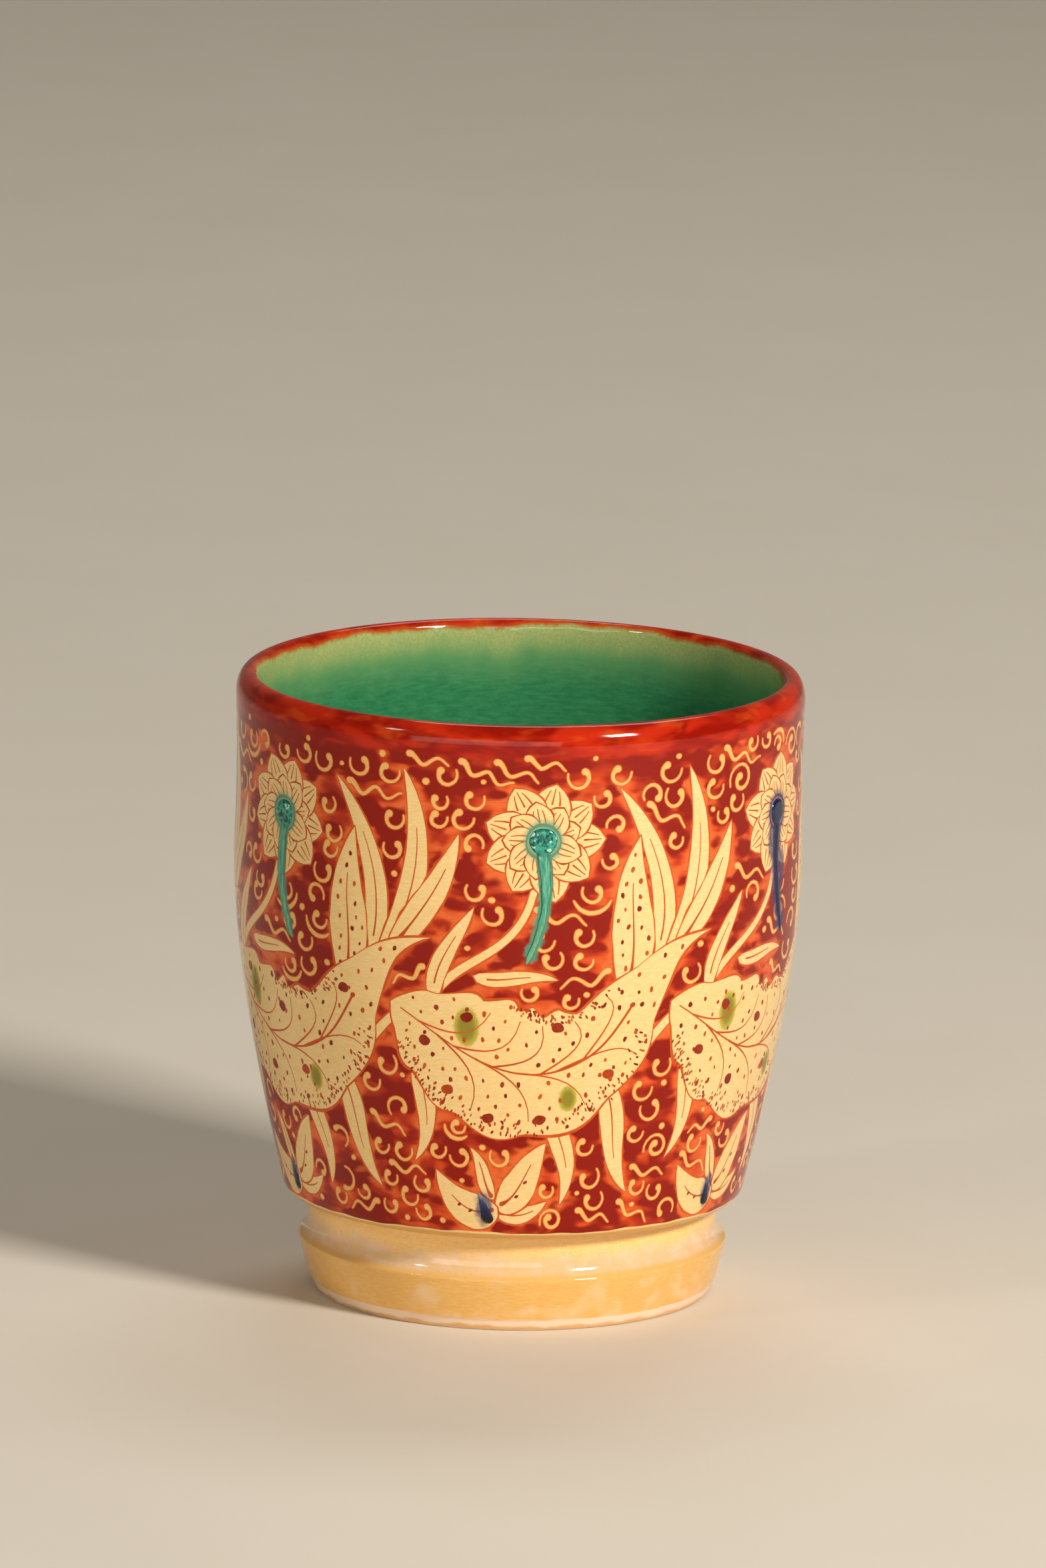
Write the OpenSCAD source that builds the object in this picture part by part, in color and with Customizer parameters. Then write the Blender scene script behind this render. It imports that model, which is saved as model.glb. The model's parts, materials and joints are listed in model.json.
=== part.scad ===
// Thrown clay mug without a handle, on a turned foot: a straight-sided body that tapers to a
// turned-under heel, a grooved neck and a flared foot ring. Every coat that lies on the clay is
// its own thin shell: cream slip, painted wall glaze, lip glaze, green liner, cove and foot glaze.
// The mug stands on the plane z = 0 with its axis along Z.

/* [Body] */
// Height from the table to the top of the lip
mug_height = 95.3; // [85:0.1:110]
// Outside diameter at the belly, the widest part of the wall
belly_diameter = 86.2; // [80:0.1:94]
// Height at which the wall reaches its full diameter
belly_height = 68; // [58:0.5:76]
// How far the heel, where the painted wall begins, stands out from the neck
heel_overhang = 4; // [2.5:0.1:6]
// Height of the turned-under heel, from the neck to where the painted wall begins
heel_rise = 1.9; // [1.2:0.1:3]
// How far the wall draws in between the belly and the lip
waist_depth = 0.3; // [0:0.05:1]
// Thickness of the wall at the lip
lip_wall = 3.45; // [3:0.05:4.5]
// Thickness of the wall just above the floor
base_wall = 4.8; // [4:0.1:6]
// Thickness of the floor
floor_thickness = 5.2; // [4:0.1:7]
// Height of the rounded part of the lip
lip_height = 3.4; // [2.5:0.1:5]
// Radius of the flat middle of the floor inside
floor_flat_radius = 22; // [16:0.5:24]
// Height above the floor at which the inside curves in to meet it
floor_corner_height = 11; // [8:0.5:14]

/* [Foot] */
// Diameter of the neck groove between foot and body
neck_diameter = 62.2; // [58:0.1:66]
// How far the foot's shoulder, its widest part, stands out from the neck
shoulder_flare = 1.55; // [0.8:0.05:2.5]
// Height of the shoulder
shoulder_height = 8.3; // [6:0.1:11]
// Height of the cove, from the shoulder to the neck
cove_height = 6.3; // [4.5:0.1:8]
// How far the band under the shoulder leans in on its way down to the bare edge
band_lean = 1.7; // [0.8:0.05:2.5]
// How far that band bulges
band_bulge = 0.15; // [0:0.05:0.8]
// Height of the bare edge under the band
bare_edge_height = 1.6; // [1:0.1:2.5]
// How far the bare edge leans in on its way down to the table
bare_edge_lean = 0.85; // [0.4:0.05:1.5]
// Width of the ring that the foot stands on
stand_width = 4.2; // [3:0.1:6]
// How far the ceiling of the hollow under the foot lies above the shoulder
recess_rise = 2.1; // [1:0.1:3]
// How far the hollow's wall leans in between the table and its ceiling
recess_draft = 1.2; // [0.5:0.1:2]
// Radius of the curve between the hollow's wall and its ceiling
recess_fillet = 2; // [1:0.1:3]

/* [Coats] */
// Thickness of the glaze
glaze = 0.35; // [0.2:0.05:0.6]
// Thickness of the cream slip under the painted wall and the lip
slip = 0.3; // [0.2:0.05:0.5]

/* [Glaze runs and drops] */
// Number of flower heads round the wall, each with one coloured run
bloom_count = 6; // [3:1:7]
// How far the flower heads' centres lie below the lip
bloom_drop = 13.9; // [10:0.1:20]
// Angle of the first flower head, from the X axis
bloom_angle = 275; // [0:1:359]
// Radius of a run's round head
run_head_radius = 2.1; // [1.4:0.1:2.6]
// Width of a run's tail
run_tail_width = 1.7; // [1:0.1:2.4]
// Length of a run from the middle of its head to its tip
run_length = 19; // [12:0.5:24]
// How far a run swings to the side on its way down
run_swing = 2.4; // [0:0.1:4]
// How far the runs stand out from the wall
run_relief = 0.3; // [0.2:0.05:0.6]
// Number of leaf sprigs round the heel, each with one blue drop
sprig_count = 6; // [4:1:9]
// Angle of the first sprig, from the X axis
sprig_angle = 264; // [0:1:359]
// Height of the middle of a blue drop above the heel
drop_rise = 3.8; // [3.2:0.1:8]
// Length of a blue drop from top to bottom
drop_length = 5.2; // [3:0.1:6]
// Width of a blue drop
drop_width = 2.6; // [1.6:0.1:3.5]
// How far the blue drops stand out from the wall
drop_relief = 0.3; // [0.2:0.05:0.5]

/* [Hidden] */
$fn = 128;

// Colours of the clay and of each coat
clay_colour = [0.86, 0.76, 0.66];
cream_colour = [0.91, 0.78, 0.55];
red_colour = [0.68, 0.14, 0.06];
lip_colour = [0.55, 0.07, 0.04];
liner_colour = [0.18, 0.52, 0.33];
cove_colour = [0.90, 0.76, 0.56];
honey_colour = [0.85, 0.62, 0.27];
green_colour = [0.10, 0.50, 0.38];
blue_colour = [0.07, 0.12, 0.35];

// Numbers of steps along the curved stretches of the outline
wall_steps = 24;
turn_steps = 10;
lip_steps = 9;
fillet_steps = 6;
run_steps = 16;

belly_radius = belly_diameter / 2;
neck_radius = neck_diameter / 2;
heel_radius = neck_radius + heel_overhang;
shoulder_radius = neck_radius + shoulder_flare;
bare_edge_radius = shoulder_radius - band_lean;
stand_radius = bare_edge_radius - bare_edge_lean;
neck_height = shoulder_height + cove_height;
heel_height = neck_height + heel_rise;
recess_depth = shoulder_height + recess_rise;
floor_height = recess_depth + floor_thickness;
lip_start = mug_height - lip_height;
floor_corner_top = floor_height + floor_corner_height;
bloom_height = lip_start - bloom_drop;
drop_height = heel_height + drop_rise;

// Shares that shape the curves between the sizes above. Each curve leaves its first point and
// reaches its last one along a handle, whose length is a share of the curve's own span.
wall_lean_share = 0.24; // how far the wall leans out for each step up at the heel
wall_low_handle_share = 0.27; // of the height from heel to belly
wall_high_handle_share = 0.35;
heel_turn_handle_share = 0.7; // of the height from neck to heel
heel_under_handle_share = 0.55; // of the width from neck to heel
neck_handle_share = 0.75; // of the height from shoulder to neck
shoulder_handle_share = 0.2;
shoulder_lean_share = 1.1; // how far the cove leans in for each step up at the shoulder
lip_outer_share = 0.62; // how much of the lip's width lies outside its highest line
lip_outer_rise_share = 0.6; // of the lip's height
lip_inner_drop_share = 0.4;
lip_top_handle_share = 0.55; // of the lip's width on that side
corner_wall_handle_share = 0.55; // of the corner's height
corner_floor_handle_share = 0.6; // of the corner's width
run_bow_share = 0.35; // how far a run bows the other way on its way down, of its swing
tail_tip_share = 0.45; // a run's width at its tip, of its tail's width
drop_belly_share = 0.3; // how far up a drop its widest place is

function mix(a, b, t) = a + (b - a) * t;
function bezier(p0, p1, p2, p3, steps, first = 0) = [
    for (i = [first:steps]) let (t = i / steps, s = 1 - t)
        s * s * s * p0 + 3 * s * s * t * p1 + 3 * s * t * t * p2 + t * t * t * p3
];
function unit(v) = v / norm(v);
function part_of(list, first, last) = [for (i = [first:last]) list[i]];
function reversed(list) = [for (i = [len(list) - 1:-1:0]) list[i]];

// The glazed outline in [radius, height], from the foot's bare edge up the outside, over the lip
// and down the inside to the middle of the floor
heel = [heel_radius, heel_height];
belly = [belly_radius, belly_height];
wall_rise = belly_height - heel_height;
lip_foot = [belly_radius, lip_start];
lip_top = [belly_radius - lip_wall * lip_outer_share, mug_height];
lip_inner = [belly_radius - lip_wall, mug_height - lip_height * lip_inner_drop_share];

band_line = bezier([bare_edge_radius, bare_edge_height],
    [mix(bare_edge_radius, shoulder_radius, 1 / 3) + band_bulge, mix(bare_edge_height, shoulder_height, 1 / 3)],
    [mix(bare_edge_radius, shoulder_radius, 2 / 3) + band_bulge, mix(bare_edge_height, shoulder_height, 2 / 3)],
    [shoulder_radius, shoulder_height], turn_steps);
cove_line = bezier([shoulder_radius, shoulder_height],
    [shoulder_radius, shoulder_height] + [-shoulder_lean_share, 1] * cove_height * shoulder_handle_share,
    [neck_radius, neck_height - cove_height * neck_handle_share],
    [neck_radius, neck_height], turn_steps, 1);
heel_line = bezier([neck_radius, neck_height],
    [mix(neck_radius, heel_radius, heel_under_handle_share), neck_height],
    heel - [wall_lean_share, 1] * heel_rise * heel_turn_handle_share,
    heel, turn_steps, 1);
taper_line = bezier(heel,
    heel + [wall_lean_share, 1] * wall_rise * wall_low_handle_share,
    belly - [0, wall_rise * wall_high_handle_share],
    belly, wall_steps, 1);
waist_line = bezier(belly,
    belly + [-waist_depth, (lip_start - belly_height) / 3],
    lip_foot - [waist_depth, (lip_start - belly_height) / 3],
    lip_foot, turn_steps, 1);
lip_line = concat(
    bezier(lip_foot,
        lip_foot + [0, lip_height * lip_outer_rise_share],
        lip_top + [lip_wall * lip_outer_share * lip_top_handle_share, 0],
        lip_top, lip_steps, 1),
    bezier(lip_top,
        lip_top - [lip_wall * (1 - lip_outer_share) * lip_top_handle_share, 0],
        lip_inner + [0, lip_height * lip_inner_drop_share * lip_top_handle_share],
        lip_inner, lip_steps, 1));

// The wall's thickness grows evenly from the lip to the floor
function wall_at(height) = mix(base_wall, lip_wall,
    (height - floor_corner_top) / (lip_start - floor_corner_top));
outside_wall = concat([heel], taper_line, waist_line);
function inside_of(i) = let (
        p = outside_wall[i],
        along = unit(outside_wall[i + 1] - outside_wall[i - 1]))
    p - wall_at(p[1]) * [along[1], -along[0]];
inside_wall = [
    for (i = [len(outside_wall) - 2:-1:1]) let (p = inside_of(i))
        if (p[1] > floor_corner_top && p[1] < lip_start) p
];
corner_top = inside_wall[len(inside_wall) - 1];
corner_way = unit(corner_top - inside_wall[len(inside_wall) - 2]);
floor_edge = [floor_flat_radius, floor_height];
corner_line = bezier(corner_top,
    corner_top + corner_way * (corner_top[1] - floor_height) * corner_wall_handle_share,
    floor_edge + [(corner_top[0] - floor_flat_radius) * corner_floor_handle_share, 0],
    floor_edge, turn_steps, 1);

outline = concat(band_line, cove_line, heel_line, taper_line, waist_line, lip_line,
    inside_wall, corner_line, [[0, floor_height]]);
shoulder_at = len(band_line) - 1;
neck_at = shoulder_at + len(cove_line);
lip_at = neck_at + len(heel_line) + len(taper_line) + len(waist_line);
liner_at = lip_at + len(lip_line);
centre_at = len(outline) - 1;

// A point of the outline, moved into the clay by a depth, square to the surface
function way_out(i) = let (
        along = unit(outline[min(i + 1, centre_at)] - outline[max(i - 1, 0)]))
    [along[1], -along[0]];
function below(i, depth) = i == centre_at ? outline[i] - [0, depth] : outline[i] - depth * way_out(i);
function coat_section(first, last, top, bottom) = concat(
    [for (i = [first:last]) below(i, top)],
    [for (i = [last:-1:first]) below(i, bottom)]);

// The clay under the coats: under glaze alone on foot, cove and liner, under slip and glaze between
clay_coats = glaze + slip;
clay_foot_line = [for (i = [0:neck_at]) below(i, glaze)];
clay_wall_line = [for (i = [neck_at:liner_at]) below(i, clay_coats)];
clay_liner_line = [for (i = [liner_at:centre_at]) below(i, glaze)];

// The joint between body and foot ring, level with the ceiling of the hollow
function above_joint(list) = [for (p = list) if (p[1] > recess_depth) p];
function under_joint(list) = [for (p = list) if (p[1] < recess_depth) p];
foot_below = under_joint(clay_foot_line);
foot_above = above_joint(clay_foot_line);
joint_low = foot_below[len(foot_below) - 1];
joint_high = foot_above[0];
joint_point = mix(joint_low, joint_high, (recess_depth - joint_low[1]) / (joint_high[1] - joint_low[1]));

stand_inner_radius = stand_radius - stand_width;
recess_radius = stand_inner_radius - recess_draft;
recess_line = concat(
    [[stand_inner_radius, 0]],
    [for (i = [0:fillet_steps]) let (a = 90 * i / fillet_steps)
        [recess_radius - recess_fillet * (1 - cos(a)), recess_depth - recess_fillet * (1 - sin(a))]]);

module turned(section) {
    rotate_extrude() polygon(section);
}

module clay_body() {
    color(clay_colour)
    turned(concat([[0, recess_depth], joint_point], foot_above, clay_wall_line, clay_liner_line));
}

module foot_ring() {
    color(clay_colour)
    turned(concat([[stand_radius, 0]], foot_below, [joint_point], reversed(recess_line)));
}

module slip_coat() {
    color(cream_colour)
    turned(coat_section(neck_at, liner_at, glaze, clay_coats));
}

module painted_wall_glaze() {
    color(red_colour)
    turned(coat_section(neck_at, lip_at, 0, glaze));
}

module lip_glaze() {
    color(lip_colour)
    turned(coat_section(lip_at, liner_at, 0, glaze));
}

module liner_glaze() {
    color(liner_colour)
    turned(coat_section(liner_at, centre_at, 0, glaze));
}

module cove_glaze() {
    color(cove_colour)
    turned(coat_section(shoulder_at, neck_at, 0, glaze));
}

module foot_glaze() {
    color(honey_colour)
    turned(coat_section(0, shoulder_at, 0, glaze));
}

// A raised pad of glaze on the outside of the wall. Its outline is in [sideways, height], and its
// back lies on the wall's own surface.
module wall_pad(shape, angle, relief) {
    reach = belly_radius + 2 * relief;
    intersection() {
        turned(coat_section(neck_at + turn_steps, lip_at, -relief, 0));
        rotate([0, 0, angle + 90]) rotate([90, 0, 0]) linear_extrude(reach) polygon(shape);
    }
}

// A run starts as a round head. Its tail leaves the head straight down, bows a little to one side
// and swings to the other as it narrows to its tip.
function run_middle(t, side) = [
    side * run_swing * (run_bow_share * sin(180 * t) - t * t),
    -mix(run_head_radius, run_length, t)
];
function run_edge(t, side, hand) =
    run_middle(t, side) + [hand * run_tail_width / 2 * mix(1, tail_tip_share, t), 0];
function run_shape(side) = let (
        neck = asin(run_tail_width / 2 / run_head_radius),
        turn = 360 - 2 * neck)
    [for (p = concat(
        [for (i = [0:run_steps]) let (a = neck - 90 + turn * i / run_steps) run_head_radius * [cos(a), sin(a)]],
        [for (i = [1:run_steps]) run_edge(i / run_steps, side, -1)],
        [for (i = [run_steps:-1:1]) run_edge(i / run_steps, side, 1)]))
        p + [0, bloom_height]];

// The second of every three flower heads carries a blue run, the others a green one
module glaze_runs(blue) {
    for (i = [0:bloom_count - 1])
        if ((i % 3 == 1) == blue)
            wall_pad(run_shape(i % 3 == 0 ? 1 : -1), bloom_angle + 360 * i / bloom_count, run_relief);
}

module green_glaze_runs() {
    color(green_colour) glaze_runs(false);
}

module blue_glaze_runs() {
    color(blue_colour) glaze_runs(true);
}

// A drop hangs down: a point at its top and a round belly below
function drop_shape() = [
    for (i = [0:run_steps - 1]) let (
            a = 360 * i / run_steps,
            lift = sin(a) > 0 ? 1 - drop_belly_share : drop_belly_share,
            pinch = sin(a) > 0 ? pow(1 - sin(a), 1 / 2) : abs(cos(a)))
        [sign(cos(a)) * drop_width / 2 * pinch, drop_height - drop_length * (1 / 2 - drop_belly_share)
            + drop_length * lift * sin(a)]
];

module blue_glaze_drops() {
    color(blue_colour)
    for (i = [0:sprig_count - 1])
        wall_pad(drop_shape(), sprig_angle + 360 * i / sprig_count, drop_relief);
}

clay_body();
foot_ring();
slip_coat();
painted_wall_glaze();
lip_glaze();
liner_glaze();
cove_glaze();
foot_glaze();
green_glaze_runs();
blue_glaze_runs();
blue_glaze_drops();
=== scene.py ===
"""The glazed clay mug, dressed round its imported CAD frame.

Every coat of glaze is laid as a thin closed shell on the outline that its CAD node gives. The wall
carries a garland of leaves and blossoms, painted as flat shapes that cut its mesh into patches.
Lengths are in millimetres until a mesh is made.
"""
import json
import math
import random

import bpy
import numpy as np
from mathutils import Matrix, Vector
from mathutils.geometry import delaunay_2d_cdt
from mathutils.kdtree import KDTree

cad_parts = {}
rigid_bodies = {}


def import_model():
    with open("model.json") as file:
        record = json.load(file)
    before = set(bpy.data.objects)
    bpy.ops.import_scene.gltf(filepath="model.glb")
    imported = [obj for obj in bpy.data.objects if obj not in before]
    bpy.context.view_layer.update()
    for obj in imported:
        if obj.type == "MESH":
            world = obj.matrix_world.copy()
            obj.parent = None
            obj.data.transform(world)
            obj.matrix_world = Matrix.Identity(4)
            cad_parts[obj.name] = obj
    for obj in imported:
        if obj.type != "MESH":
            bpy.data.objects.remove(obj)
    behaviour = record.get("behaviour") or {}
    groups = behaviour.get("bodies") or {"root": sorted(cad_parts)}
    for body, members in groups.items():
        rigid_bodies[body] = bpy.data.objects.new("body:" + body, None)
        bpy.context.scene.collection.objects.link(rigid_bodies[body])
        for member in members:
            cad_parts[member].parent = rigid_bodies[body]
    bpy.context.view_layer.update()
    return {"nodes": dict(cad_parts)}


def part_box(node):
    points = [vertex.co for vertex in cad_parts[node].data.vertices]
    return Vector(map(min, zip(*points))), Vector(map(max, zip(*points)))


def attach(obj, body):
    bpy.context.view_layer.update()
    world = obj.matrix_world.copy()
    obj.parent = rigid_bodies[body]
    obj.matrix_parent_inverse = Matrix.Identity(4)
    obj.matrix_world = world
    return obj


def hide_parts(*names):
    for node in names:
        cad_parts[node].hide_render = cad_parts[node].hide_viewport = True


for thing in list(bpy.data.objects):
    bpy.data.objects.remove(thing)
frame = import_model()
MM = 0.001
GLAZE = 0.35


def unit(vectors):
    return vectors / (np.linalg.norm(vectors, axis=-1, keepdims=True) + 1e-12)


def bezier(p0, p1, p2, p3, count):
    t = np.linspace(0, 1, count)[:, None]
    p0, p1, p2, p3 = (np.array(p, float) for p in (p0, p1, p2, p3))
    return (1 - t) ** 3 * p0 + 3 * (1 - t) ** 2 * t * p1 + 3 * (1 - t) * t * t * p2 + t ** 3 * p3


def round_points(r, angle):
    return np.stack([r * np.cos(angle), r * np.sin(angle)], -1)


def turned(r, angle, z):
    """Points at a radius, an angle and a height round the mug's axis."""
    return np.stack(np.broadcast_arrays(r * np.cos(angle), r * np.sin(angle), z), -1)


def section_of(node):
    """A turned node's points beside the X axis, as radius and height."""
    spots = np.array([tuple(point.co) for point in frame["nodes"][node].data.vertices]) / MM
    beside = spots[(np.abs(spots[:, 1]) < 0.01) & (spots[:, 0] > -0.01)]
    return np.unique(np.round(beside[:, (0, 2)], 3), axis=0)


def outside_of(node, *under):
    """The outer line of a coat: its own points without those of the nodes under it, in order."""
    points = section_of(node)
    for other in under:
        gaps = np.linalg.norm(points[:, None] - section_of(other)[None], axis=2)
        points = points[gaps.min(1) > 0.02]
    # The liner is followed from its top, and the others from their outermost lowest point
    i = np.argmax(points[:, 1]) if node == "liner_glaze" else np.lexsort((-points[:, 0], points[:, 1]))[0]
    line = []
    while len(points):
        line.append(points[i])
        points = np.delete(points, i, 0)
        if len(points):
            i = np.argmin(np.linalg.norm(points - line[-1], axis=1))
    return np.array(line)


class Stretch:
    """A smooth line through outline points, followed by its length."""

    def __init__(self, points, steps=8):
        gaps = np.linalg.norm(np.diff(points, axis=0), axis=1)[:, None]
        ways = np.diff(points, axis=0) / gaps
        between = (ways[:-1] * gaps[1:] + ways[1:] * gaps[:-1]) / (gaps[1:] + gaps[:-1])
        ways = np.concatenate([ways[:1], between, ways[-1:]])
        smooth = [bezier(a, a + gap * way_a / 3, b - gap * way_b / 3, b, steps + 1)[:-1]
                  for a, b, way_a, way_b, gap in zip(points, points[1:], ways, ways[1:], gaps)]
        self.line = np.concatenate(smooth + [points[-1:]])
        self.steps = steps
        self.run = np.concatenate([[0], np.cumsum(np.linalg.norm(np.diff(self.line, axis=0), axis=1))])
        self.length = self.run[-1]
        along = unit(np.gradient(self.line, axis=0))
        self.out = np.stack([along[:, 1], -along[:, 0]], 1)

    def run_to(self, point):
        return self.run[point * self.steps]

    def run_at(self, height):
        """The length at which the line first reaches a height on its way up."""
        top = int(np.argmax(self.line[:, 1]))
        return float(np.interp(height, self.line[:top, 1], self.run[:top]))

    def at(self, s):
        """Radius and height at a length along the line, and the way out of the clay there."""
        r, z, out_r, out_z = (np.interp(s, self.run, column) for column in (*self.line.T, *self.out.T))
        size = np.hypot(out_r, out_z)
        return r, z, out_r / size, out_z / size


def unevenness(angle, r, z):
    """How far hand turning leaves the surface inside its outline."""
    swing = (0.4 * np.sin(2 * angle + 0.06 * z + 0.7) + 0.25 * np.sin(3 * angle - 0.09 * z + 2)
             + 0.2 * np.sin(5 * angle + 0.13 * z) + 0.15 * np.sin(1.7 * z + angle))
    return 0.055 * (1 + swing) * np.clip(r / 20, 0, 1)


def place(stretch, angle, s, rise=0.0):
    """Points on a turned surface in metres, raised from it by a distance, and their normals."""
    r, z, out_r, out_z = stretch.at(s)
    lift = rise - unevenness(angle, r, z)
    return turned(r + out_r * lift, angle, z + out_z * lift) * MM, turned(out_r, angle, out_z)


foot_line = Stretch(outside_of("foot_glaze", "foot_ring"))
cove_line = Stretch(outside_of("cove_glaze", "clay_body", "foot_ring"))
wall_points = outside_of("painted_wall_glaze", "slip_coat")
lip_points = outside_of("lip_glaze", "slip_coat")
liner_points = outside_of("liner_glaze", "clay_body", "slip_coat")
floor_middle = [[0.0, liner_points[-1][1]]]

# One line goes up the wall, over the lip and down inside to the middle of the floor
body_line = Stretch(np.concatenate([wall_points, lip_points[1:], liner_points[1:], floor_middle]))
WALL_LENGTH = body_line.run_to(len(wall_points) - 1)
WALL_AND_LIP = body_line.run_to(len(wall_points) + len(lip_points) - 2)

# The painting's own measures: u runs round the wall, v runs up it from the heel's height
REF_RADIUS = 42.0
TURN = 2 * math.pi * REF_RADIUS
REPEATS = 6
HEEL_Z = 16.5
WALL_LOW = HEEL_Z - body_line.run_at(HEEL_Z)
WALL_TOP = WALL_LOW + WALL_LENGTH
RED_EDGE = HEEL_Z - 0.3
CREAM_EDGE = RED_EDGE - 0.35
MARKS_TOP = WALL_TOP - 1.8


def height_to_v(z):
    return body_line.run_at(z) + WALL_LOW


# Where the flower heads and the sprigs stand, counted round the wall as in the CAD's source
FIRST_BLOOM, FIRST_SPRIG = math.radians(275), math.radians(264)
GREEN_RUNS, BLUE_RUNS = (0, 2, 3, 5), (1, 4)
RUN_HEAD, RUN_TAIL, RUN_LENGTH, RUN_SWING, RUN_BOW, TAIL_TIP = 2.1, 0.85, 19.0, 2.4, 0.35, 0.45
DROP_ASIDE, DROP_HALF = 0.2, 1.35
BLOOM_V = height_to_v(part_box("green_glaze_runs")[1].z / MM - RUN_HEAD)
DROP_LOW, DROP_HIGH = (height_to_v(corner.z / MM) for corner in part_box("blue_glaze_drops"))


def repeat_u(first, k):
    """The place round the painting of a repeat, counted from the angle of the first."""
    return (first + k * 2 * math.pi / REPEATS - math.pi / 2) % (2 * math.pi) * REF_RADIUS


def bloom_u(k):
    return repeat_u(FIRST_BLOOM, k)


def sprig_u(k):
    return repeat_u(FIRST_SPRIG, k)


# The painting: u goes round the wall as seen from outside, v goes up it
CREAM, LINE = (1, 0), (0, 1)


def left_of(path):
    """The unit vector to the left of a path at each of its points."""
    along = unit(np.gradient(path, axis=0))
    return np.stack([-along[:, 1], along[:, 0]], 1)


def ribbon(path, half, cap=4):
    """The outline of a brush stroke: a path with a half-width at each point, and round ends."""
    n = left_of(path)

    def round_end(centre, way, radius):
        if radius < 0.03:
            return np.zeros((0, 2))
        angles = math.atan2(way[1], way[0]) - np.linspace(0, math.pi, cap + 2)[1:-1]
        return centre + round_points(radius, angles)

    left, right = path + n * half[:, None], path - n * half[:, None]
    return np.concatenate([left, round_end(path[-1], n[-1], half[-1]), right[::-1],
                           round_end(path[0], -n[0], half[0])])


def disc(centre, rx, ry, angle=0.0, count=12, rng=None, wobble=0.0):
    """A round dab of the brush, a little uneven if it is given a wobble."""
    a = np.linspace(0, 2 * math.pi, count, endpoint=False)
    r = np.ones(count)
    if wobble:
        for k in (2, 3, 4):
            r += wobble / k * np.sin(k * a + rng.uniform(0, 2 * math.pi))
    return Spot(*centre, math.degrees(angle))(round_points(r, a) * (rx, ry))


def ahead_of(outline):
    return np.roll(outline, -1, 0)


def inside(outline, points):
    """Which points lie inside an outline."""
    x, y = points.T
    found = np.zeros(len(points), bool)
    for (ax, ay), (bx, by) in zip(outline, ahead_of(outline)):
        crossed = (ay > y) != (by > y)
        if crossed.any():
            found ^= crossed & (x < ax + (y - ay) / (by - ay + 1e-12) * (bx - ax))
    return found


def nearest(samples, points, reach=math.inf):
    """How far each point lies from the nearest of the samples, up to a reach."""
    middle = samples.mean(0)
    tree = KDTree(len(samples))
    for i, (u, v) in enumerate(samples - middle):
        tree.insert((u, v, 0), i)
    tree.balance()
    return np.array([min(reach, tree.find((u, v, 0))[2]) for u, v in points - middle])


def between_corners(outline, parts):
    """An outline with each of its sides cut into as many parts."""
    return np.concatenate([outline * (1 - k / parts) + ahead_of(outline) * k / parts for k in range(parts)])


def is_clockwise(outline):
    ahead = ahead_of(outline)
    return (outline[:, 0] * ahead[:, 1] - ahead[:, 0] * outline[:, 1]).sum() < 0


def grown(outline, by):
    """An outline pushed out by a small distance that varies along it, as a brush line does."""
    along = unit(ahead_of(outline) - np.roll(outline, 1, 0)) * (-1 if is_clockwise(outline) else 1)
    t = np.linspace(0, 2 * math.pi, len(outline), endpoint=False)
    swell = by * (1 + 0.4 * np.sin(t * 5 + outline[0, 0]) + 0.25 * np.sin(t * 11 + outline[0, 1]))
    return outline + np.stack([along[:, 1], -along[:, 0]], 1) * swell[:, None]


def taper(count, thick, thin, head=0.0):
    """Half-widths of a stroke that starts thick, in a blob if it has a head, and thins out."""
    t = np.linspace(0, 1, count)
    return thin + (thick - thin) * (1 - t) ** 1.3 + head * np.exp(-((t / 0.12) ** 2))


class Spot:
    """A place on the wall: turns points of a motif's own drawing into points of the wall."""

    def __init__(self, u, v, angle=0.0, scale=1.0, flip=1):
        self.u, self.v, self.scale, self.flip = u, v, scale, flip
        self.c, self.s = math.cos(math.radians(angle)), math.sin(math.radians(angle))

    def __call__(self, points):
        p = np.atleast_2d(np.array(points, float)) * self.scale
        x, y = p[:, 0] * self.flip, p[:, 1]
        return np.stack([self.u + self.c * x - self.s * y, self.v + self.s * x + self.c * y], 1)


class Painting:
    """Painted shapes, lowest first. Each has a paint, an outline and a tone, from 0 for a thin
    orange wash to 1 for thick dark red."""

    def __init__(self, seed):
        self.rng = random.Random(seed)
        self.shapes = []
        self.figures = []
        self.stains = []

    def put(self, paint, outline, tone=0.0):
        self.shapes.append((paint, outline, tone))
        return outline

    def stroke(self, path, half, tone):
        return self.put(LINE, ribbon(path, half), tone)

    def figure(self, outline, edge):
        """A cream figure inside the thin orange line that was drawn round it."""
        self.put(LINE, grown(outline, edge), 0.25)
        self.figures.append(outline)
        return self.put(CREAM, outline)

    def fleck(self, at, long, wide, angle, tone):
        self.put(LINE, disc(at, long, wide, angle, 7, self.rng, 0.16), tone)

    def scatter(self, outline, spacing, margin, keep_off, gap, tries=1200):
        """Points inside an outline, apart from each other, from its edge and from other lines."""
        lo, hi = outline.min(0), outline.max(0)
        places = np.array([[self.rng.uniform(lo[0], hi[0]), self.rng.uniform(lo[1], hi[1])]
                           for _ in range(tries)])
        places = places[inside(outline, places)]
        places = places[nearest(between_corners(outline, 2), places) > margin]
        if keep_off:
            places = places[nearest(np.concatenate(keep_off), places) > gap]
        kept = []
        for p in places:
            if all((p[0] - q[0]) ** 2 + (p[1] - q[1]) ** 2 > spacing ** 2 for q in kept):
                kept.append(p)
        return kept


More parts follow.
